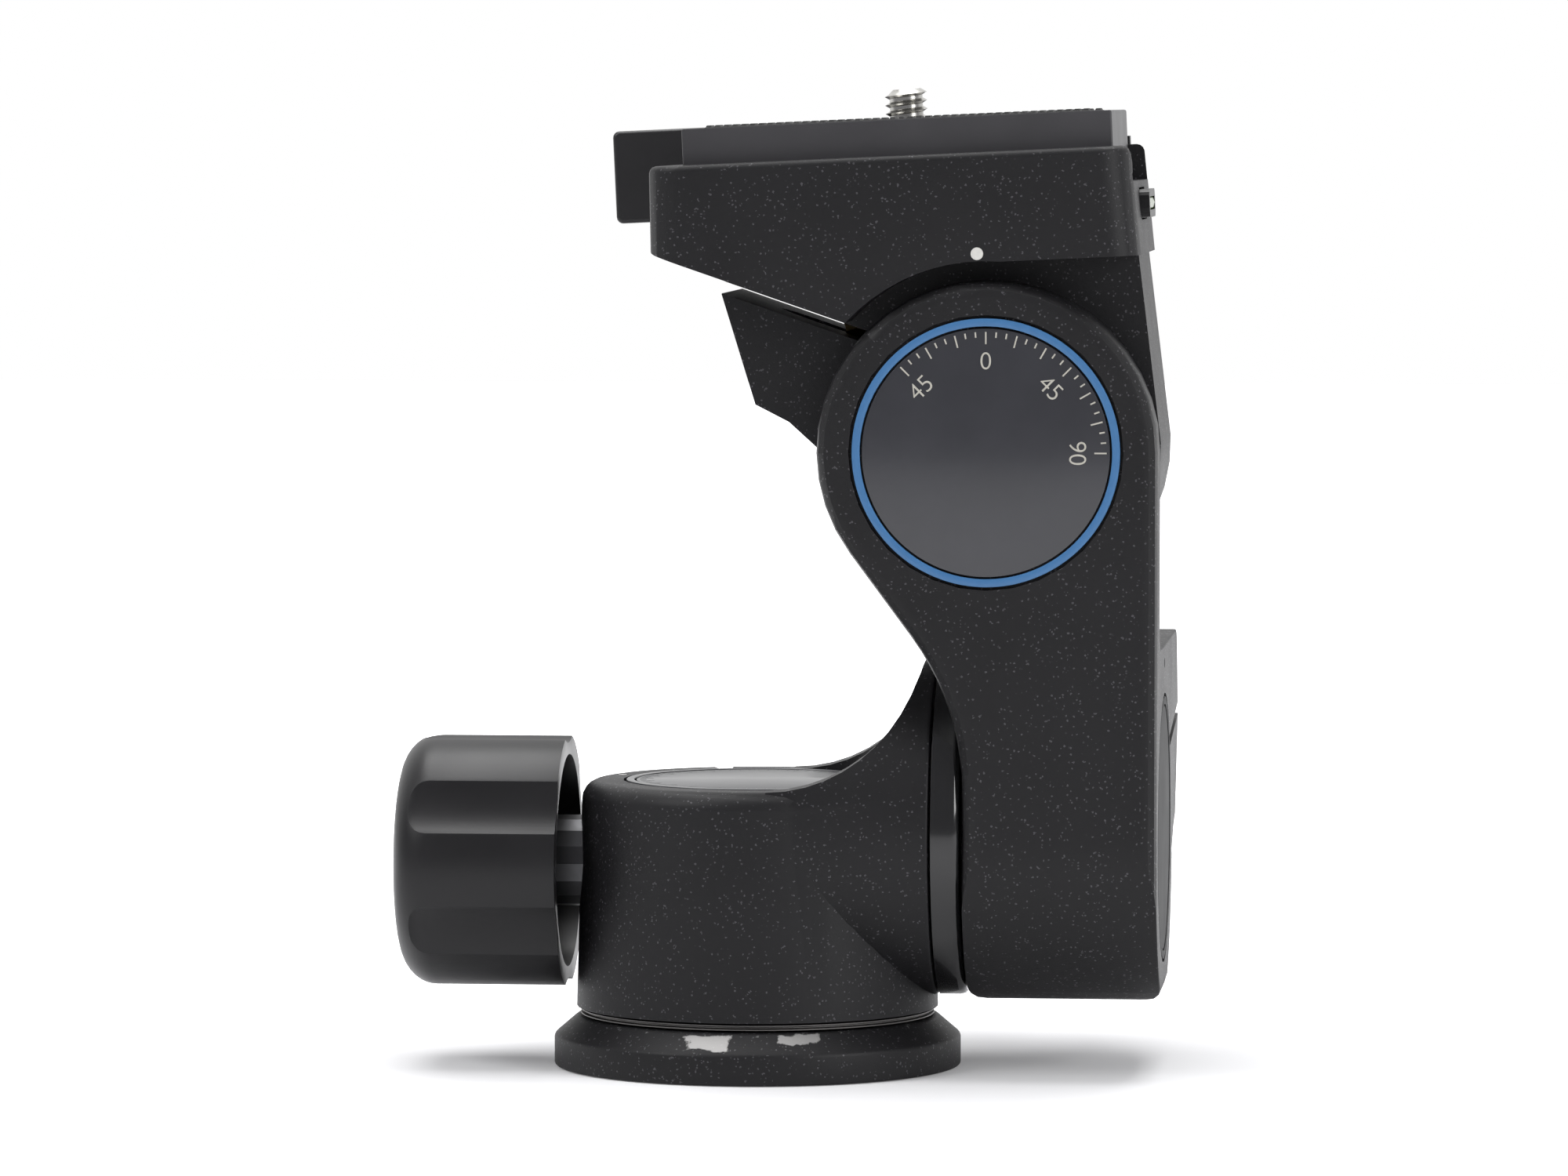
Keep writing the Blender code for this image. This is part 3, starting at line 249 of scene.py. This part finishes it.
# %% [markdown]
# The knob, the plate and the lever are moulded in black nylon, smooth with a soft sheen. The
# flange and the front dial are glossy, the pan dial is a duller grey, and the side dial and the
# rubber are dull. All are one recipe with other numbers: a dark colour, a trace of cloudiness
# in the roughness, and a fine bump.

# %% Moulded and glossy blacks
def moulded(name, colour, roughness, grain, depth, coat=0.0, gleam=0.5):
    plastic = Finish(name, colour, roughness)
    plastic.set("Specular IOR Level", gleam)
    cloud = plastic.noise(90, 3.0)
    fine = plastic.noise(grain, 2.0)
    pale = tuple(level * 1.5 for level in colour)
    plastic.set("Base Color", plastic.mix(cloud, (*colour, 1), (*pale, 1)))
    plastic.set("Roughness", roughness + (cloud - 0.5) * 0.14)
    plastic.set("Coat Weight", coat)
    plastic.set("Coat Roughness", 0.06)
    plastic.bump(fine, depth, 0.4)
    return plastic.material


knob_nylon = moulded("knob_nylon", (0.0075, 0.0072, 0.008), 0.36, 1500, 0.00002, gleam=0.34)
side_face = moulded("side_dial_face", (0.012, 0.012, 0.013), 0.62, 900, 0.00002, gleam=0.2)
plate_nylon = moulded("plate_nylon", (0.033, 0.032, 0.035), 0.44, 2200, 0.00002)
lever_nylon = moulded("lever_nylon", (0.011, 0.0105, 0.0115), 0.36, 1500, 0.00002, gleam=0.4)
gloss = moulded("gloss_black", (0.006, 0.006, 0.0065), 0.16, 500, 0.000005, 0.4)
dial_face = moulded("dial_face", (0.024, 0.0245, 0.029), 0.22, 700, 0.000003, 0.35)
dial_grey = moulded("dial_grey", (0.036, 0.037, 0.041), 0.32, 1800, 0.000006, 0.2)
rubber = moulded("pad_rubber", (0.012, 0.012, 0.012), 0.72, 1700, 0.00005)
print("eight blacks")

# %% [markdown]
# Turned steel shows fine rings. Steel keeps one colour, and its look comes from the roughness,
# so the rings are a noise stretched along the axis: very fine across the rings and long along
# them. Brass, the jaw and ring steels and the dark washers use the same recipe.

# %% Metals
def turned_metal(name, colour, roughness, scale):
    metal = Finish(name, colour, roughness, 1.0)
    rings = metal.noise(1.0, 3.0, 0.6, metal.stretched(scale))
    stain = metal.noise(160, 3.0)
    dark = tuple(level * 0.72 for level in colour)
    metal.set("Base Color", metal.mix(stain, (*dark, 1), (*colour, 1)))
    metal.set("Roughness", roughness + (rings - 0.5) * 0.22)
    metal.bump(rings, 0.00001, 0.35)
    return metal.material


steel = turned_metal("bright_steel", (0.60, 0.59, 0.56), 0.24, (120, 120, 5200))
cross_steel = turned_metal("jaw_steel", (0.40, 0.40, 0.39), 0.34, (240, 4200, 4200))
dark_steel = turned_metal("dark_steel", (0.11, 0.11, 0.115), 0.36, (900, 900, 900))
# Painted shade: the bearing ring's bright steel darkened to about a quarter, for the narrow gap
# between base and housing.
ring_steel_painted_shade = turned_metal("ring_steel_painted_shade", (0.16, 0.155, 0.15), 0.42, (120, 120, 5200))
brass = turned_metal("brass", (0.64, 0.47, 0.22), 0.30, (900, 900, 900))
print("five metals")

# %% [markdown]
# The small rest: the blue line round the front dial, off-white paint in the numbers and index
# dots, the split plastic liners, and the green spirit in its level.

# %% Paints, liner and spirit
def plain_paint(name, colour, roughness, dirt=0.7, coat=0.0):
    paint = Finish(name, colour, roughness)
    paint.set("Coat Weight", coat)
    wear = paint.noise(900, 4.0, 0.6)
    low = tuple(level * dirt for level in colour)
    paint.set("Base Color", paint.mix(wear, (*low, 1), (*colour, 1)))
    paint.set("Roughness", roughness + (wear - 0.5) * 0.2)
    paint.bump(wear, 0.000006, 0.4)
    return paint.material


blue_ring = plain_paint("ring_blue", (0.050, 0.165, 0.36), 0.34, 0.85)
number_paint = plain_paint("number_paint", (0.52, 0.50, 0.44), 0.5)
dot_paint = plain_paint("index_paint", (0.74, 0.73, 0.69), 0.45)
faint_paint = plain_paint("faint_number_paint", (0.16, 0.165, 0.165), 0.5)
liner_plastic = plain_paint("liner_plastic", (0.55, 0.53, 0.47), 0.45)
spirit = plain_paint("level_spirit", (0.08, 0.15, 0.015), 0.2, 0.9, coat=0.3)
print("paints ready")

# %% [markdown]
# ## Turned pieces
# The base, the rings and the dials are turned on a lathe. A circle of edges is pulled along
# the piece's outline in edit mode, one extrude for each corner, so the outline in the script
# reads like the turner's drawing: pairs of radius and height. A Bevel modifier then breaks the
# sharp edges, as a turner does with a file. Pieces that face the camera are turned to -Y.

# %% A lathe
facing = {"Z": (0, 0, 0), "-Y": (pi / 2, 0, 0)}
smooth_angle = radians(34)


def pick_out(*pieces):
    """Select these pieces alone, with the first of them active."""
    bpy.ops.object.select_all(action="DESELECT")
    for piece in pieces:
        piece.select_set(True)
    bpy.context.view_layer.objects.active = pieces[0]


def settle(piece, turn, place):
    """Turn and move a piece, and write both into its mesh."""
    pick_out(piece)
    piece.rotation_euler = turn
    piece.location = place
    bpy.ops.object.transform_apply(location=True, rotation=True, scale=True)
    return piece


def turned(name, outline, around=144, along="Z", place=(0, 0, 0), closed=False):
    """Pull a circle along an outline of radius and height; closed joins its last to its first."""
    bpy.ops.object.select_all(action="DESELECT")
    radius, height = outline[0]
    bpy.ops.mesh.primitive_circle_add(vertices=around, radius=radius, location=(0, 0, height),
                                      fill_type="NOTHING" if closed else "NGON")
    piece = bpy.context.object
    piece.name = name
    bpy.ops.object.mode_set(mode="EDIT")
    bpy.ops.mesh.select_all(action="SELECT")
    corners = outline[1:] + (outline[:1] if closed else [])
    for next_radius, next_height in corners:
        step = (0, 0, next_height - height)
        bpy.ops.mesh.extrude_edges_move(TRANSFORM_OT_translate={"value": step})
        size = next_radius / radius
        bpy.ops.transform.resize(value=(size, size, 1), center_override=(0, 0, next_height))
        radius, height = next_radius, next_height
    if closed:
        bpy.ops.mesh.select_all(action="SELECT")
        bpy.ops.mesh.remove_doubles(threshold=1e-6)
    else:
        bpy.ops.mesh.edge_face_add()
    bpy.ops.mesh.select_all(action="SELECT")
    bpy.ops.mesh.normals_make_consistent(inside=False)
    bpy.ops.object.mode_set(mode="OBJECT")
    bpy.ops.object.transform_apply(location=True, rotation=True, scale=True)
    return settle(piece, facing[along], place)


def bevelled(piece, width, steps=3, sharp=28):
    """Round the edges sharper than an angle by a small width, and shade the rest smooth."""
    pick_out(piece)
    if width:
        edge = piece.modifiers.new("edge", "BEVEL")
        edge.limit_method = "ANGLE"
        edge.angle_limit = radians(sharp)
        edge.width = width
        edge.segments = steps
        bpy.ops.object.modifier_apply(modifier="edge")
    bpy.ops.object.shade_smooth_by_angle(angle=smooth_angle)
    return piece


def dress(piece, body, material, slot, *replaced):
    """Give a piece its finish, its body, and the nodes that it stands for."""
    piece.data.materials.clear()
    piece.data.materials.append(material)
    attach(piece, body)
    if replaced:
        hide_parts(*replaced)
    print(piece.name, len(piece.data.polygons), "faces")
    return piece


print("lathe ready")

# %% [markdown]
# The base is a flange with an upright rim, a sloping shoulder that the enamel has chipped from,
# and a relief underneath so that only its outer ring touches the tripod. Between it and the
# housing a bright steel ring shows as two thin lines with a groove between them.

# %% Base and bearing ring
base_outline = [(0.0073, 0.0075), (0.0272, 0.0075), (0.0307, 0.0045), (0.0307, 0.0),
                (0.0215, 0.0), (0.0215, 0.0010), (0.0105, 0.0010), (0.0105, 0.0),
                (0.0073, 0.0)]
base = turned("base_casting", base_outline, closed=True)
dress(bevelled(base, 0.0004), "base", base_enamel, "casting_paint", "base_flange")

ring_outline = [(0.0130, 0.0078), (0.0267, 0.0078), (0.0267, 0.00800), (0.0262, 0.00812),
                (0.0262, 0.00828), (0.0267, 0.00840), (0.0267, 0.0086), (0.0130, 0.0086)]
ring = turned("bearing_ring", ring_outline, closed=True)
# The ring's darker steel is painted shade for the gap it sits in.
dress(bevelled(ring, 0.00003, 1), "base", ring_steel_painted_shade, "bright_steel", "pan_bearing_ring")

# %% [markdown]
# ## Castings
# The housing, the upright and the platform have the CAD's own shapes, which hold everything
# that moves. A copy of each is cleaned up: its loose triangles are welded, flat areas are made
# one face again, and the sharp edges are rounded a little, as a casting's are under its paint.
# This keeps every bore and slit where the CAD has it.

# %% Castings from the CAD nodes
def recast(node, name, body, material, slot, width):
    """A welded and softened copy of a CAD node, in its place."""
    source = nodes[node]
    piece = source.copy()
    piece.data = source.data.copy()
    piece.name = name
    bpy.context.collection.objects.link(piece)
    piece.parent = None
    piece.matrix_world = source.matrix_world
    piece.hide_render = piece.hide_viewport = False
    pick_out(piece)
    bpy.ops.mesh.customdata_custom_splitnormals_clear()
    bpy.ops.object.mode_set(mode="EDIT")
    bpy.ops.mesh.select_all(action="SELECT")
    bpy.ops.mesh.remove_doubles(threshold=2e-6)
    bpy.ops.mesh.dissolve_limited(angle_limit=radians(0.6))
    bpy.ops.object.mode_set(mode="OBJECT")
    bevelled(piece, width, 2, 30)
    even = piece.modifiers.new("even", "WEIGHTED_NORMAL")
    even.keep_sharp = True
    bpy.ops.object.modifier_apply(modifier="even")
    return dress(piece, body, material, slot, node)


recast("pan_body", "pan_casting", "pan_housing", casting, "casting_paint", 0.0003)
recast("upright_body", "upright_casting", "upright", casting, "casting_paint", 0.0003)
recast("platform_body", "platform_casting", "platform", casting, "casting_paint", 0.0003)
recast("qr_plate", "plate_moulding", "plate", plate_nylon, "black_plastic", 0.0002)
recast("qr_lever", "lever_moulding", "lever", lever_nylon, "black_plastic", 0.0003)

# %% [markdown]
# ## Side drum
# The gloss black flange beside the upright is the rim of the drum that the upright clamps. It
# keeps its four screw holes, so it is softened from the CAD as the castings are.

# %% Flange and drum
recast("side_tilt_drum", "side_drum", "pan_housing", gloss, "drum_metal", 0.0002)

# %% [markdown]
# ## Lock knob
# The knob is a cup with six shallow flutes for the fingers. It is turned first, and then six
# round cutters scoop the flutes with a Boolean modifier, which leaves the crisp edges that the
# mould leaves. A last bevel rounds them.

# %% Fluted knob
knob_height = 0.0305
knob_radius = 0.01905
knob_round = 0.0055
flute_count = 6
flute_depth = 0.0012
scoop_radius = 0.0140
scoop_round = 0.0030


def quarter_round(radius, height, corner, steps):
    """Pairs of radius and height round a corner, from the side to the top."""
    turns = [pi / 2 * step / steps for step in range(steps + 1)]
    return [(radius - corner + corner * cos(turn), height + corner * sin(turn))
            for turn in turns]


knob_outline = [(0.0072, 0.0516), (0.0072, 0.0491), (0.01605, 0.0491), (0.01605, 0.0287),
                (knob_radius, 0.0287)]
knob_outline += quarter_round(knob_radius, 0.0481, knob_round, 9)
knob_outline += [(0.0100, 0.05405), (0.0060, 0.0544), (0.0010, 0.0546)]
knob = turned("lock_knob", knob_outline, 192)

scoop_outline = [(scoop_radius, 0.0260), (scoop_radius, 0.0496)]
scoop_outline += quarter_round(scoop_radius, 0.0497, scoop_round, 5)[1:]
scoop_reach = knob_radius - flute_depth + scoop_radius
for index in range(flute_count):
    turn = 2 * pi * index / flute_count
    scoop = turned("flute_%d" % index, scoop_outline, 128,
                   place=(scoop_reach * cos(turn), scoop_reach * sin(turn), 0))
    pick_out(knob)
    flute = knob.modifiers.new("flute", "BOOLEAN")
    flute.operation = "DIFFERENCE"
    flute.solver = "EXACT"
    flute.object = scoop
    bpy.ops.object.modifier_apply(modifier="flute")
    bpy.data.objects.remove(scoop)
settle(knob, (0, -pi / 2, 0), (0, 0, knob_height))
dress(bevelled(knob, 0.0005, 3, 24), "lock_knob", knob_nylon, "black_plastic", "pan_knob")

# %% [markdown]
# ## Dials
# Each dial is a thin disc with a ring round it. The front one has a tick every five degrees
# from 45 on one side to 90 on the other, a longer one every fifteen, and four numbers that read
# along the rim. One tick is modelled and copied round. The middle of the disc, where a maker's
# sign would be, is left bare.

# %% Discs and rings
tilt_x, tilt_z = 0.0362, 0.0935
pan_dial_z = 0.0422
tilt_dial_y = -0.0251
dial_radius = 0.0183
dial_thickness = 0.0008
ring_inner, ring_outer = 0.0186, 0.0198
ring_thickness = 0.0009


def dial(side, along, place, disc_finish, ring_finish, disc_slot, ring_slot, body):
    outline = [(dial_radius, 0.0), (dial_radius, dial_thickness)]
    disc = turned(side + "_dial", outline, 160, along, place)
    dress(bevelled(disc, 0.00012, 2), body, disc_finish, disc_slot, side + "_scale_disc")
    outline = [(ring_inner, 0.0), (ring_outer, 0.0), (ring_outer, ring_thickness),
               (ring_inner, ring_thickness)]
    rim = turned(side + "_dial_ring", outline, 160, along, place, closed=True)
    dress(bevelled(rim, 0.00015, 2), body, ring_finish, ring_slot, side + "_scale_ring")


dial("pan", "Z", (0, 0, pan_dial_z), dial_grey, dial_grey, "dial_grey", "ring_black", "base")
dial("tilt", "-Y", (tilt_x, tilt_dial_y, tilt_z), dial_face, blue_ring, "dial_black",
     "ring_blue", "upright")

# %% Ticks and numbers
paint_depth = 0.00002
tick_outer = 0.0178
tick_step = 5
long_step = 15


def tick(inner, width, angle):
    """A thin bar out to the dial's edge, turned clockwise from the top."""
    bpy.ops.object.select_all(action="DESELECT")
    bpy.ops.mesh.primitive_cube_add(size=1, location=(0, (inner + tick_outer) / 2,
                                                      paint_depth / 2))
    bar = bpy.context.object
    bar.scale = (width, tick_outer - inner, paint_depth)
    bpy.ops.object.transform_apply(location=True, rotation=True, scale=True)
    bar.data.transform(Matrix.Rotation(-radians(angle), 4, "Z"))
    return bar


def number(text, size, height, angle):
    """A plain number as a thin mesh, at a height from the centre, turned as a tick is."""
    bpy.ops.object.select_all(action="DESELECT")
    bpy.ops.object.text_add(location=(0, 0, 0))
    word = bpy.context.object
    word.data.body = text
    word.data.size = size
    word.data.align_x = "CENTER"
    word.data.align_y = "CENTER"
    word.data.extrude = paint_depth / 2
    word.data.offset = -0.00004
    bpy.ops.object.convert(target="MESH")
    word = settle(bpy.context.object, (0, 0, 0), (0, height, paint_depth / 2))
    word.data.transform(Matrix.Rotation(-radians(angle), 4, "Z"))
    return word


def joined(pieces, name):
    pick_out(*pieces)
    bpy.ops.object.join()
    whole = bpy.context.object
    whole.name = name
    return whole


def scale_marks(name, first, last, long_inner, short_inner, width):
    """Ticks from the first angle to the last, where those at each long step are longer."""
    made = []
    for angle in range(first, last + 1, tick_step):
        inner = short_inner if angle % long_step else long_inner
        made.append(tick(inner, width, angle))
    return joined(made, name)


marks = [scale_marks("front_ticks", -45, 90, 0.0160, 0.0170, 0.00022)]
for text, angle in (("45", -45), ("0", 0), ("45", 45), ("90", 90)):
    marks.append(number(text, 0.0037, 0.0134, angle))
front_marks = joined(marks, "front_dial_marks")
settle(front_marks, facing["-Y"], (tilt_x, tilt_dial_y - dial_thickness, tilt_z))
dress(front_marks, "upright", number_paint, "plate_metal")

pan_marks = scale_marks("pan_dial_marks", 0, 355, 0.0158, 0.0168, 0.00016)
settle(pan_marks, facing["Z"], (0, 0, pan_dial_z + dial_thickness))
dress(pan_marks, "base", faint_paint, "plate_metal")

# %% [markdown]
# Index dots mark where each scale is read: one on the housing beside the pan dial and one on
# the platform over the front dial. Each is a drop of pale paint in a dimple, so it is a low
# dome that just fills the dimple.

# %% Index dots
lean = radians(-2.6)
dot_depth = 0.00028
pan_dot_reach, pan_dot_turn = 0.0224, radians(162)
tilt_dot_reach = 0.0293


def paint_drop(name, radius, along, place, body):
    outline = [(radius, -dot_depth), (radius * 0.97, -dot_depth * 0.15), (radius * 0.75, 0.0),
               (radius * 0.35, dot_depth * 0.12)]
    drop = turned(name, outline, 40, along, place)
    dress(bevelled(drop, 0), body, dot_paint, "plate_metal")


paint_drop("pan_index_dot", 0.00076, "Z",
           (pan_dot_reach * cos(pan_dot_turn), pan_dot_reach * sin(pan_dot_turn), 0.0430),
           "pan_housing")
paint_drop("tilt_index_dot", 0.00095, "-Y",
           (tilt_x + tilt_dot_reach * sin(lean), -0.0260, tilt_z + tilt_dot_reach * cos(lean)),
           "platform")

# %% [markdown]
# ## Camera screw
# The screw that holds the camera stands out of the plate with a quarter-inch thread of twenty
# turns to the inch. A triangle of edges is swept up a helix by a Screw modifier for the ridge,
# and a turned core fills it. It leans with the platform, 2.6 degrees, about the tilt axis.

# %% Threaded screw
pitch = 0.00127
crest = 0.003175
root = 0.0025
ridge_sink = 0.0003
ridge_half = pitch * 0.46
screw_foot = 0.0472
thread_turns = 5
plate_middle = -0.01145
tilt_frame = Matrix.Translation((tilt_x, 0, tilt_z)) @ Matrix.Rotation(lean, 4, "Y")

bpy.ops.object.select_all(action="DESELECT")
bpy.ops.mesh.primitive_circle_add(vertices=3, radius=pitch * 0.5, rotation=(pi / 2, 0, 0),
                                  location=(root, 0, 0))
ridge = bpy.context.object
ridge.name = "screw_ridge"
bpy.ops.object.transform_apply(location=True, rotation=True, scale=True)
corners = [(crest, 0.0, 0.0), (root - ridge_sink, 0.0, ridge_half),
           (root - ridge_sink, 0.0, -ridge_half)]
for vertex, corner in zip(ridge.data.vertices, corners):
    vertex.co = corner
sweep = ridge.modifiers.new("sweep", "SCREW")
sweep.angle = 2 * pi
sweep.screw_offset = pitch
sweep.iterations = thread_turns
sweep.steps = 64
sweep.render_steps = 64
sweep.use_normal_calculate = True
bpy.ops.object.modifier_apply(modifier="sweep")
bpy.ops.object.mode_set(mode="EDIT")
bpy.ops.mesh.select_all(action="SELECT")
bpy.ops.mesh.fill_holes(sides=3)
bpy.ops.mesh.select_all(action="SELECT")
bpy.ops.mesh.normals_make_consistent(inside=False)
bpy.ops.object.mode_set(mode="OBJECT")
ridge.data.transform(Matrix.Translation((0, 0, screw_foot)))

core = turned("screw_core", [(0.0075, 0.0394), (0.0075, 0.0426), (root, 0.0426),
                             (root, 0.0534), (root - 0.0006, 0.0540)], 96)
screw = joined([core, ridge], "camera_screw_thread")
screw.data.transform(tilt_frame @ Matrix.Translation((plate_middle, 0, 0)))
dress(bevelled(screw, 0), "camera_bolt", steel, "bright_steel", "camera_screw")

# %% [markdown]
# ## Rubber strips
# Two strips on the plate stop the camera from turning. They are ribbed across, so one rib is
# modelled with a rounded top and repeated along the strip by an Array modifier.

# %% Ribbed strips
rib_pitch = 0.0013
rib_rise = 0.0003
rib_inset = 0.0002
rib_crown = (0.72, 0.97, 1)
strip_length = 0.0577
strip_width = 0.0058
strip_thickness = 0.0008
strip_z = 0.0492


def choose_faces(piece, wanted):
    """In edit mode, select the faces whose normal is wanted."""
    bpy.ops.mesh.select_all(action="DESELECT")
    bpy.ops.object.mode_set(mode="OBJECT")
    for face in piece.data.polygons:
        face.select = wanted(face.normal)
    bpy.ops.object.mode_set(mode="EDIT")


def ribbed_strip(name, middle, node):
    bpy.ops.object.select_all(action="DESELECT")
    bpy.ops.mesh.primitive_cube_add(size=1, location=(0, middle, 0))
    strip = bpy.context.object
    strip.name = name
    strip.scale = (rib_pitch, strip_width, strip_thickness)
    bpy.ops.object.transform_apply(location=True, rotation=True, scale=True)
    bpy.ops.object.mode_set(mode="EDIT")
    bpy.ops.mesh.select_mode(type="FACE")
    choose_faces(strip, lambda normal: normal.z > 0.9)
    bpy.ops.mesh.inset(thickness=rib_inset)
    bpy.ops.mesh.extrude_region_move(TRANSFORM_OT_translate={"value": (0, 0, rib_rise)})
    bpy.ops.transform.resize(value=rib_crown)
    choose_faces(strip, lambda normal: abs(normal.x) > 0.99)
    bpy.ops.mesh.delete(type="FACE")
    bpy.ops.object.mode_set(mode="OBJECT")
    row = strip.modifiers.new("row", "ARRAY")
    row.count = int(strip_length / rib_pitch)
    row.relative_offset_displace = (1, 0, 0)
    row.use_merge_vertices = True
    row.merge_threshold = 1e-6
    length = row.count * rib_pitch
    bpy.ops.object.modifier_apply(modifier="row")
    bpy.ops.object.mode_set(mode="EDIT")
    bpy.ops.mesh.select_all(action="SELECT")
    bpy.ops.mesh.fill_holes(sides=8)
    bpy.ops.mesh.normals_make_consistent(inside=False)
    bpy.ops.object.mode_set(mode="OBJECT")
    start = rib_pitch / 2 - length / 2 + plate_middle
    strip.data.transform(Matrix.Translation((start, 0, strip_z)))
    strip.data.transform(tilt_frame)
    dress(bevelled(strip, 0.00008, 2), "plate", rubber, "black_rubber", node)


ribbed_strip("pad_near", -0.0163, "plate_pad_near")
ribbed_strip("pad_far", 0.0163, "plate_pad_far")

# %% [markdown]
# ## The pieces kept from the CAD
# Screws, washers, liners and the spindle have the right shapes already. They only need their
# finishes, which go onto the nodes' own material slots.

# %% Finishes for the kept nodes
kept = {
    "tripod_bush": steel, "pan_spindle": steel, "pan_retaining_ring": dark_steel,
    "pan_retaining_nut": dark_steel, "side_end_washer": dark_steel, "side_end_screw": steel,
    "side_scale_disc": side_face, "side_scale_ring": side_face, "pan_brake_shoe": brass,
    "pan_lock_screw": dark_steel, "side_liner": liner_plastic, "side_handle_insert": brass,
    "tilt_drum": dark_steel, "tilt_end_washer": dark_steel, "tilt_end_screw": steel,
    "tilt_liner": liner_plastic, "tilt_handle_insert": brass, "level_bezel": knob_nylon,
    "level_vial": spirit, "lever_pivot_pin": steel, "clamp_jaw": cross_steel,
    "camera_screw_washer": dark_steel,
}
for index in range(1, 5):
    kept["side_drum_screw_%d" % index] = dark_steel
for index in range(1, 4):
    kept["tilt_drum_screw_%d" % index] = dark_steel
for node, material in kept.items():
    part = nodes[node]
    part.data.materials.clear()
    part.data.materials.append(material)
print(len(kept), "nodes have their finishes")

# %% [markdown]
# ## Studio
# The head stands on a white sweep. The camera sees floor and backdrop as white, apart from the
# soft shadow near the head, and polished faces see white only behind the head. The lamps light
# it at a plain level: a large soft box over the left shoulder, another at the right, and one
# overhead for the tops.

# %% Floor and backdrop
bpy.ops.object.select_all(action="DESELECT")
bpy.ops.mesh.primitive_plane_add(size=6, location=(0, 0, -0.0001))
floor = bpy.context.object
floor.name = "studio_floor"
sheet = Finish("floor_white", (0.86, 0.86, 0.87), 0.8)
tone = sheet.noise(3, 2.0)
sheet.set("Base Color", sheet.mix(tone, (0.85, 0.85, 0.86, 1), (0.88, 0.88, 0.89, 1)))
reach = sheet.node("ShaderNodeVectorMath", {"operation": "LENGTH"}, {0: sheet.place}, "Value")
beyond = sheet.axes(sheet.place)[1].above(0.15, 0.1)
mirrored = sheet.ray("Glossy") + sheet.ray("Transmission")
strength = sheet.ray("Camera") * (0.10 + reach.above(0.16, 0.12)) + mirrored * beyond
glow = sheet.node("ShaderNodeEmission", {}, {"Color": (1, 1, 1, 1), "Strength": strength})
matt = Signal(sheet, sheet.shader.outputs[0])
both = sheet.node("ShaderNodeAddShader", {}, {0: matt, 1: glow})
sheet.feed(sheet.tree.nodes["Material Output"].inputs["Surface"], both)
floor.data.materials.append(sheet.material)

world = scene.world or bpy.data.worlds.new("studio_world")
scene.world = world
world.use_nodes = True
sky = Graph(world.node_tree)
sky.tree.nodes.clear()
heading = sky.node("ShaderNodeTexCoord", {}, {}, "Generated")
behind = sky.node("ShaderNodeMapRange", {},
                  {"Value": sky.axes(heading)[1], "From Min": -0.10, "From Max": 0.45}, "Result")
polished = sky.ray("Glossy")
polished = polished.math("MAXIMUM", polished, sky.ray("Transmission"))
white_share = polished.math("MAXIMUM", polished * behind, sky.ray("Camera"))
soft = sky.node("ShaderNodeBackground", {}, {"Color": (0.80, 0.80, 0.84, 1), "Strength": 0.36})
white = sky.node("ShaderNodeBackground", {}, {"Color": (1, 1, 1, 1), "Strength": 1.0})
backdrop = sky.node("ShaderNodeMixShader", {}, {0: white_share, 1: soft, 2: white})
sky.feed(sky.tree.nodes.new("ShaderNodeOutputWorld").inputs["Surface"], backdrop)

# %% Lamps
lamp_target = Vector((0.01, 0, 0.07))


def soft_box(name, place, size, power):
    """A square lamp that looks at the head."""
    bpy.ops.object.light_add(type="AREA", location=place)
    lamp = bpy.context.object
    lamp.name = name
    lamp.rotation_euler = (lamp_target - Vector(place)).to_track_quat("-Z", "Y").to_euler()
    lamp.data.size = size
    lamp.data.energy = power


soft_box("left_box", (-0.75, -0.55, 0.85), 0.6, 5.5)
soft_box("right_box", (0.85, -0.60, 0.45), 0.5, 5)
soft_box("top_box", (0.0, 0.15, 1.10), 0.9, 13)
scene.view_settings.view_transform = "Standard"
